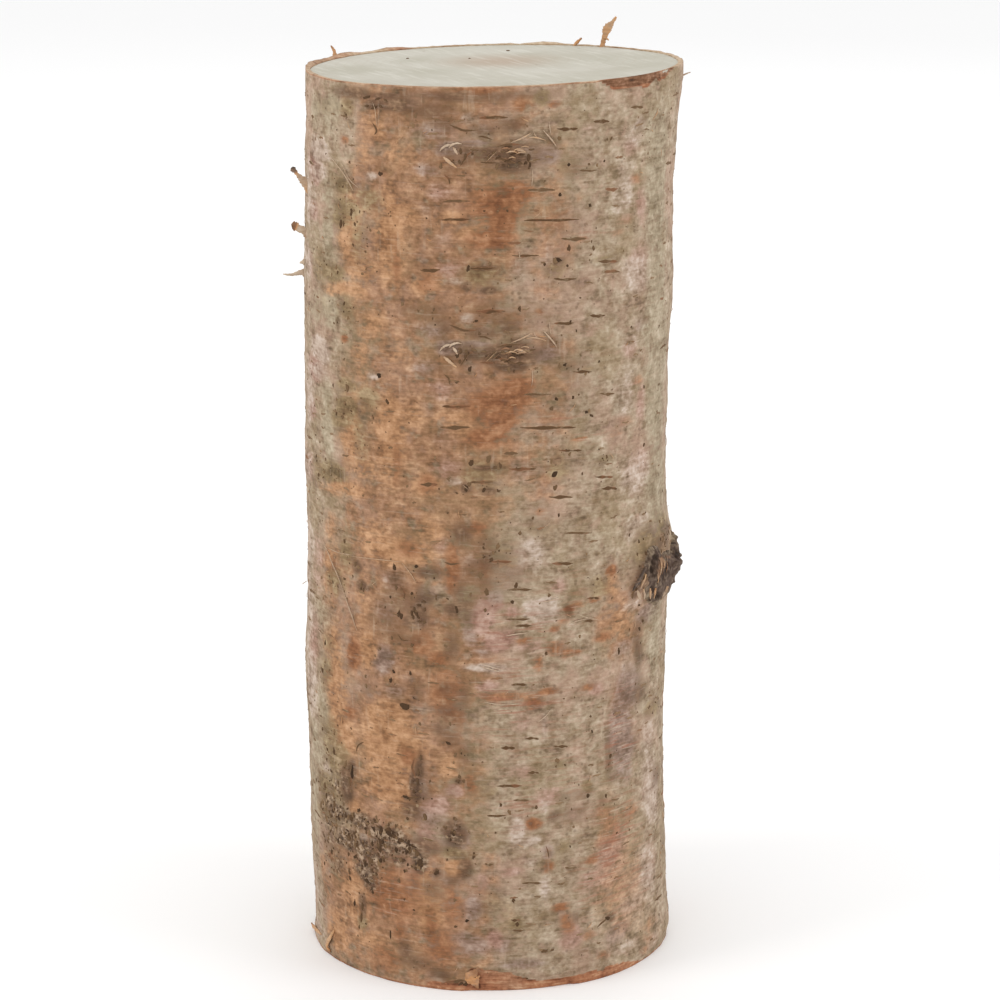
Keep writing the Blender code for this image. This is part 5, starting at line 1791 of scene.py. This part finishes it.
def bark_streaks(s, n, colour):
    """Lays the fine marks over the bark: red, pale and upright streaks, dashes and specks."""
    rust = s.math("ADD", s.attribute("rust"), 0.14)
    colour = s.stain(colour, s.times(s.step(n["wrinkles"], 0.52, 0.64), rust), 0.70, (150, 98, 74))
    pale_streak = s.step(s.noise(s.stretched(120, 1200, 9.0), 3, 0.6), 0.58, 0.70)
    pale_share = s.math("MULTIPLY_ADD", s.attribute("rust"), 0.34, 0.14)
    colour = s.mix(s.times(pale_streak, pale_share), colour, srgb(206, 184, 162))
    upright_streak = s.times(s.step(n["upright"], 0.58, 0.72), s.step(n["broad"], 0.50, 0.60))
    colour = s.stain(colour, upright_streak, 0.16, (200, 182, 160))
    dash = s.dots(s.stretched(190, 700), 0.38, 0.10, 0.66, 0.80)
    colour = s.stain(colour, dash, 0.45, (116, 88, 60))
    speck = s.dots(s.stretched(520, 520, 3.0), 0.38, 0.10, 0.74, 0.84)
    return s.stain(colour, speck, 0.45, (92, 70, 48))


def torn_colour(s, n):
    """The inner bark where it is bare: pale, brown or dark by its shade."""
    layers = s.weighted((n["speckle"], 0.55), (n["wrinkles"], 0.45))
    looks = (TORN_DARK, TORN_BROWN, TORN_PALE)
    dark, brown, pale = (s.shades(layers, *zip(TORN_STOPS, shades)) for shades in looks)
    fresh = s.shaken(s.attribute("fresh"), n["broad"], 0.8)
    colour = s.mix(s.step(fresh, 0.10, 0.90), brown, pale)
    return s.mix(s.step(fresh, -0.20, -0.70), colour, dark)


def bark_material():
    """Birch bark: grey-beige outer bark, tan where it has peeled, and the stains of each zone."""
    s = Shader("birch_bark")
    n = {name: s.noise(s.stretched(*scale), *detail) for name, (scale, detail) in BARK_NOISE.items()}
    mottle = s.weighted(*[(n[name], weight) for name, weight in MOTTLE_PARTS])
    n["mottle"] = s.math("ADD", mottle, MOTTLE_LIFT)
    n["speckle"] = s.weighted((n["blotches"], 0.5), (n["fine"], 0.5))
    colour = bark_streaks(s, n, bark_colour(s, n))
    colour = s.mix(s.step(s.attribute("exposed"), 0.30, 0.70), colour, torn_colour(s, n))
    lightness = s.weighted((n["grain"], 0.4), (n["fine"], 0.6))
    colour = s.mix(1.0, colour, s.ramp(lightness, *GRAIN_SHADES), "MULTIPLY")
    rough = s.math("MULTIPLY_ADD", n["fine"], 0.25, 0.68)
    normal = s.bump(n["mottle"], 0.0009, 0.6)
    normal = s.bump(n["wrinkles"], 0.0005, 0.4, normal)
    normal = s.bump(n["grain"], 0.00010, 0.3, normal)
    return s.finish(colour, rough, 0.25, normal)


def knot_material():
    """The dead stub: hollows darkened nearly black as painted shade, greyish-purple rot, olive skin and a few
    orange fibres.
    """
    s = Shader("dead_branch")
    fine = s.noise(s.stretched(800, 650), 3, 0.6)
    fibres = s.noise(s.stretched(1500, 300), 3)
    light = s.shaken(s.shaken(s.attribute("light"), fine, 0.8), fibres, 0.3)
    colour = s.shades(light, *STUB_SHADES)
    rotten = s.step(s.noise(s.stretched(300, 260, 3.0), 2), 0.42, 0.60)
    colour = s.stain(colour, s.times(rotten, s.attribute("violet")), 0.42, (110, 92, 85))
    warm = s.step(s.shaken(s.attribute("warm"), fibres, 1.6), 0.20, 0.80)
    warm_colour = s.shades(fine, (0.36, (120, 84, 60)), (0.64, (174, 136, 104)))
    colour = s.mix(s.times(warm, 0.75), colour, warm_colour)
    skin = s.step(s.shaken(s.attribute("skin"), fine, 1.6), 0.10, 0.90)
    skin_colour = s.shades(fine, (0.38, (98, 81, 62)), (0.50, (121, 104, 83)), (0.62, (147, 130, 108)))
    colour = s.mix(s.times(skin, 0.85), colour, skin_colour)
    # Painted shade: the hollows are darkened nearly black.
    colour = s.stain(colour, s.attribute("shaded_hollow"), 0.65, (48, 35, 25))
    return s.finish(colour, 0.9, 0.2, s.bump(fine, 0.0006, 0.7, s.bump(fibres, 0.0004, 0.5)))


def pore_material():
    """The long pores: brown corky lips and a dark slit."""
    s = Shader("long_pores")
    grain = s.noise(s.stretched(700, 1400), 3)
    ground = s.step(s.shaken(s.attribute("ground"), grain, 1.5), 0.15, 0.65)
    lips = s.mix(ground, srgb(160, 139, 114), srgb(152, 113, 82))
    slit = s.shades(s.attribute("tone"), (0, (136, 110, 83)), (1, (86, 62, 41)))
    in_slit = s.step(s.shaken(s.attribute("slit"), grain, 0.8), 0.15, 0.70)
    colour = s.mix(in_slit, lips, slit)
    rusty = s.step(s.noise(s.stretched(120, 160, 5.0), 2), 0.56, 0.62)
    colour = s.stain(colour, rusty, 0.4, (142, 94, 68))
    return s.finish(colour, 0.85, 0.15, s.bump(grain, 0.0002, 0.6))


def strip_material():
    """Torn bark by its tone: brown, orange, tan and then nearly white."""
    s = Shader("torn_bark")
    grain = s.noise(s.stretched(900, 900), 4, 0.6)
    streaks = s.noise(s.stretched(400, 1600, 2.0), 3)
    patches = s.noise(s.stretched(500, 500, 7.0), 3)
    colour = s.shades(s.shaken(s.attribute("tone"), grain, 0.25), *STRIP_SHADES)
    colour = s.stain(colour, s.step(streaks, 0.46, 0.62), 0.4, (142, 108, 80))
    colour = s.stain(colour, s.step(patches, 0.50, 0.66), 0.25, (172, 146, 126))
    return s.finish(colour, 0.8, normal=s.bump(streaks, 0.0003, 0.6))


def crumb_material():
    """Crumbs of lichen and dirt: nearly black to off-white, by their tone."""
    s = Shader("bark_crumbs")
    grain = s.noise(s.stretched(1500, 1500), 3)
    colour = s.shades(s.attribute("tone"), *CRUMB_SHADES)
    colour = s.stain(colour, grain, 0.2, (112, 88, 64))
    return s.finish(colour, 0.9, 0.1, s.bump(grain, 0.0002, 0.6))


def wood_material():
    """Sawn birch: pale and greyish, with faint year rings, a tinted heart and slanting saw marks."""
    s = Shader("sawn_wood")
    split = s.add("ShaderNodeSeparateXYZ", {0: s.place})
    off_x, off_y = (s.math("SUBTRACT", split.outputs[axis], PITH[axis]) for axis in (0, 1))
    squared = s.math("ADD", s.times(off_x, off_x), s.times(off_y, off_y))
    wobble = s.noise(s.stretched(60, 60), 2)
    distance = s.math("MULTIPLY_ADD", wobble, RING_WOBBLE, s.math("SQRT", squared))
    wave = s.math("SINE", s.times(distance, 2 * math.pi / RING_SPACING))
    cloud = s.noise(s.stretched(45, 45, 2.0), 3)
    colour = s.shades(cloud, (0.35, (174, 170, 155)), (0.65, (188, 184, 172)))
    colour = s.stain(colour, s.step(wave, 0.55, 1.0), 0.16, (172, 160, 142))
    colour = s.stain(colour, s.step(distance, 0.026, 0.003), 0.80, (170, 150, 131))
    turned = s.add("ShaderNodeMapping", {"Vector": s.place, "Rotation": (0, 0, SAW_TURN)}).outputs[0]
    saw_place = s.add("ShaderNodeMapping", {"Vector": turned, "Scale": (55, 620, 1)}).outputs[0]
    saw = s.noise(saw_place, 3, 0.6)
    colour = s.stain(colour, s.step(saw, 0.52, 0.68), 0.30, (212, 209, 198))
    colour = s.stain(colour, s.step(saw, 0.48, 0.34), 0.14, (172, 162, 147))
    fleck = s.dots(s.stretched(160, 160), 0.10, 0.04, 0.88, 0.92)
    colour = s.stain(colour, fleck, 0.6, (120, 98, 76))
    pores = s.noise(s.stretched(2600, 2600), 2)
    return s.finish(colour, 0.8, 0.3, s.bump(saw, 0.0003, 0.5, s.bump(pores, 0.0001, 0.4)))


# Floor, light and camera
FLOOR_SIDE = 16.0
FLOOR_SHADE = 0.93
FLOOR_DROP = 0.0001
WORLD_STRENGTH = 1.0

# Name, place, side in metres, watts and tint
LIGHTS = (
    ("left", (-1.6, -0.7, 1.1), 0.8, 10, (1.0, 0.98, 0.95)),
    ("right", (1.6, -0.6, 0.9), 0.9, 8, (0.99, 0.99, 1.0)),
    ("back", (0.3, 1.6, 1.2), 1.2, 3, (1.0, 1.0, 1.0)),
)
LIGHT_TARGET = (0, 0, 0.12)


def make_floor():
    half = FLOOR_SIDE / 2
    corners = [(-half, -half, 0), (half, -half, 0), (half, half, 0), (-half, half, 0)]
    mesh = bpy.data.meshes.new("floor")
    mesh.from_pydata(corners, [], [(0, 1, 2, 3)])
    mesh.materials.append(Shader("floor").finish((FLOOR_SHADE, FLOOR_SHADE, FLOOR_SHADE, 1), 0.9))
    floor = new_object("floor", mesh)
    floor.location.z = -FLOOR_DROP


def make_light():
    world = bpy.data.worlds.new("studio")
    world.use_nodes = True
    background = world.node_tree.nodes["Background"]
    background.inputs["Color"].default_value = (1.0, 1.0, 1.0, 1.0)
    background.inputs["Strength"].default_value = WORLD_STRENGTH
    bpy.context.scene.world = world
    for name, place, size, watts, tint in LIGHTS:
        data = bpy.data.lights.new(name, "AREA")
        data.shape = "SQUARE"
        data.size = size
        data.energy = watts
        data.color = tint
        light = new_object(name, data)
        light.location = place
        light.rotation_mode = "QUATERNION"
        light.rotation_quaternion = (Vector(LIGHT_TARGET) - Vector(place)).to_track_quat("-Z", "Y")


def make_camera():
    data = bpy.data.cameras.new("camera")
    data.sensor_width = SENSOR_MM
    data.lens = FOCAL_LENGTH_PIXELS * SENSOR_MM / PHOTO_SIDE
    data.clip_start, data.clip_end = 0.01, 50
    camera = new_object("camera", data)
    camera.location = CAMERA_PLACE
    camera.rotation_euler = (math.pi / 2 - CAMERA_PITCH, 0, 0)
    bpy.context.scene.camera = camera
    bpy.context.scene.view_settings.view_transform = "Standard"


make_camera()
make_light()
make_floor()
bark_surface = Bark()
bark_shader = bark_material()
wood_shader = wood_material()
bark_piece = make_bark(bark_surface, bark_shader)
make_wood("sawn_top", bark_surface, True, wood_shader)
make_wood("sawn_foot", bark_surface, False, wood_shader)
pore_shader = pore_material()
make_pores(bark_surface, pore_shader)
make_cracks(bark_surface, pore_shader)
crumb_shader = crumb_material()
make_spots(bark_surface, crumb_shader)
make_wood_specks(crumb_shader)
stub_piece = make_knot(bark_surface, knot_material())
make_strips(bark_surface, strip_material(), [face_tree(bark_piece), face_tree(stub_piece)])
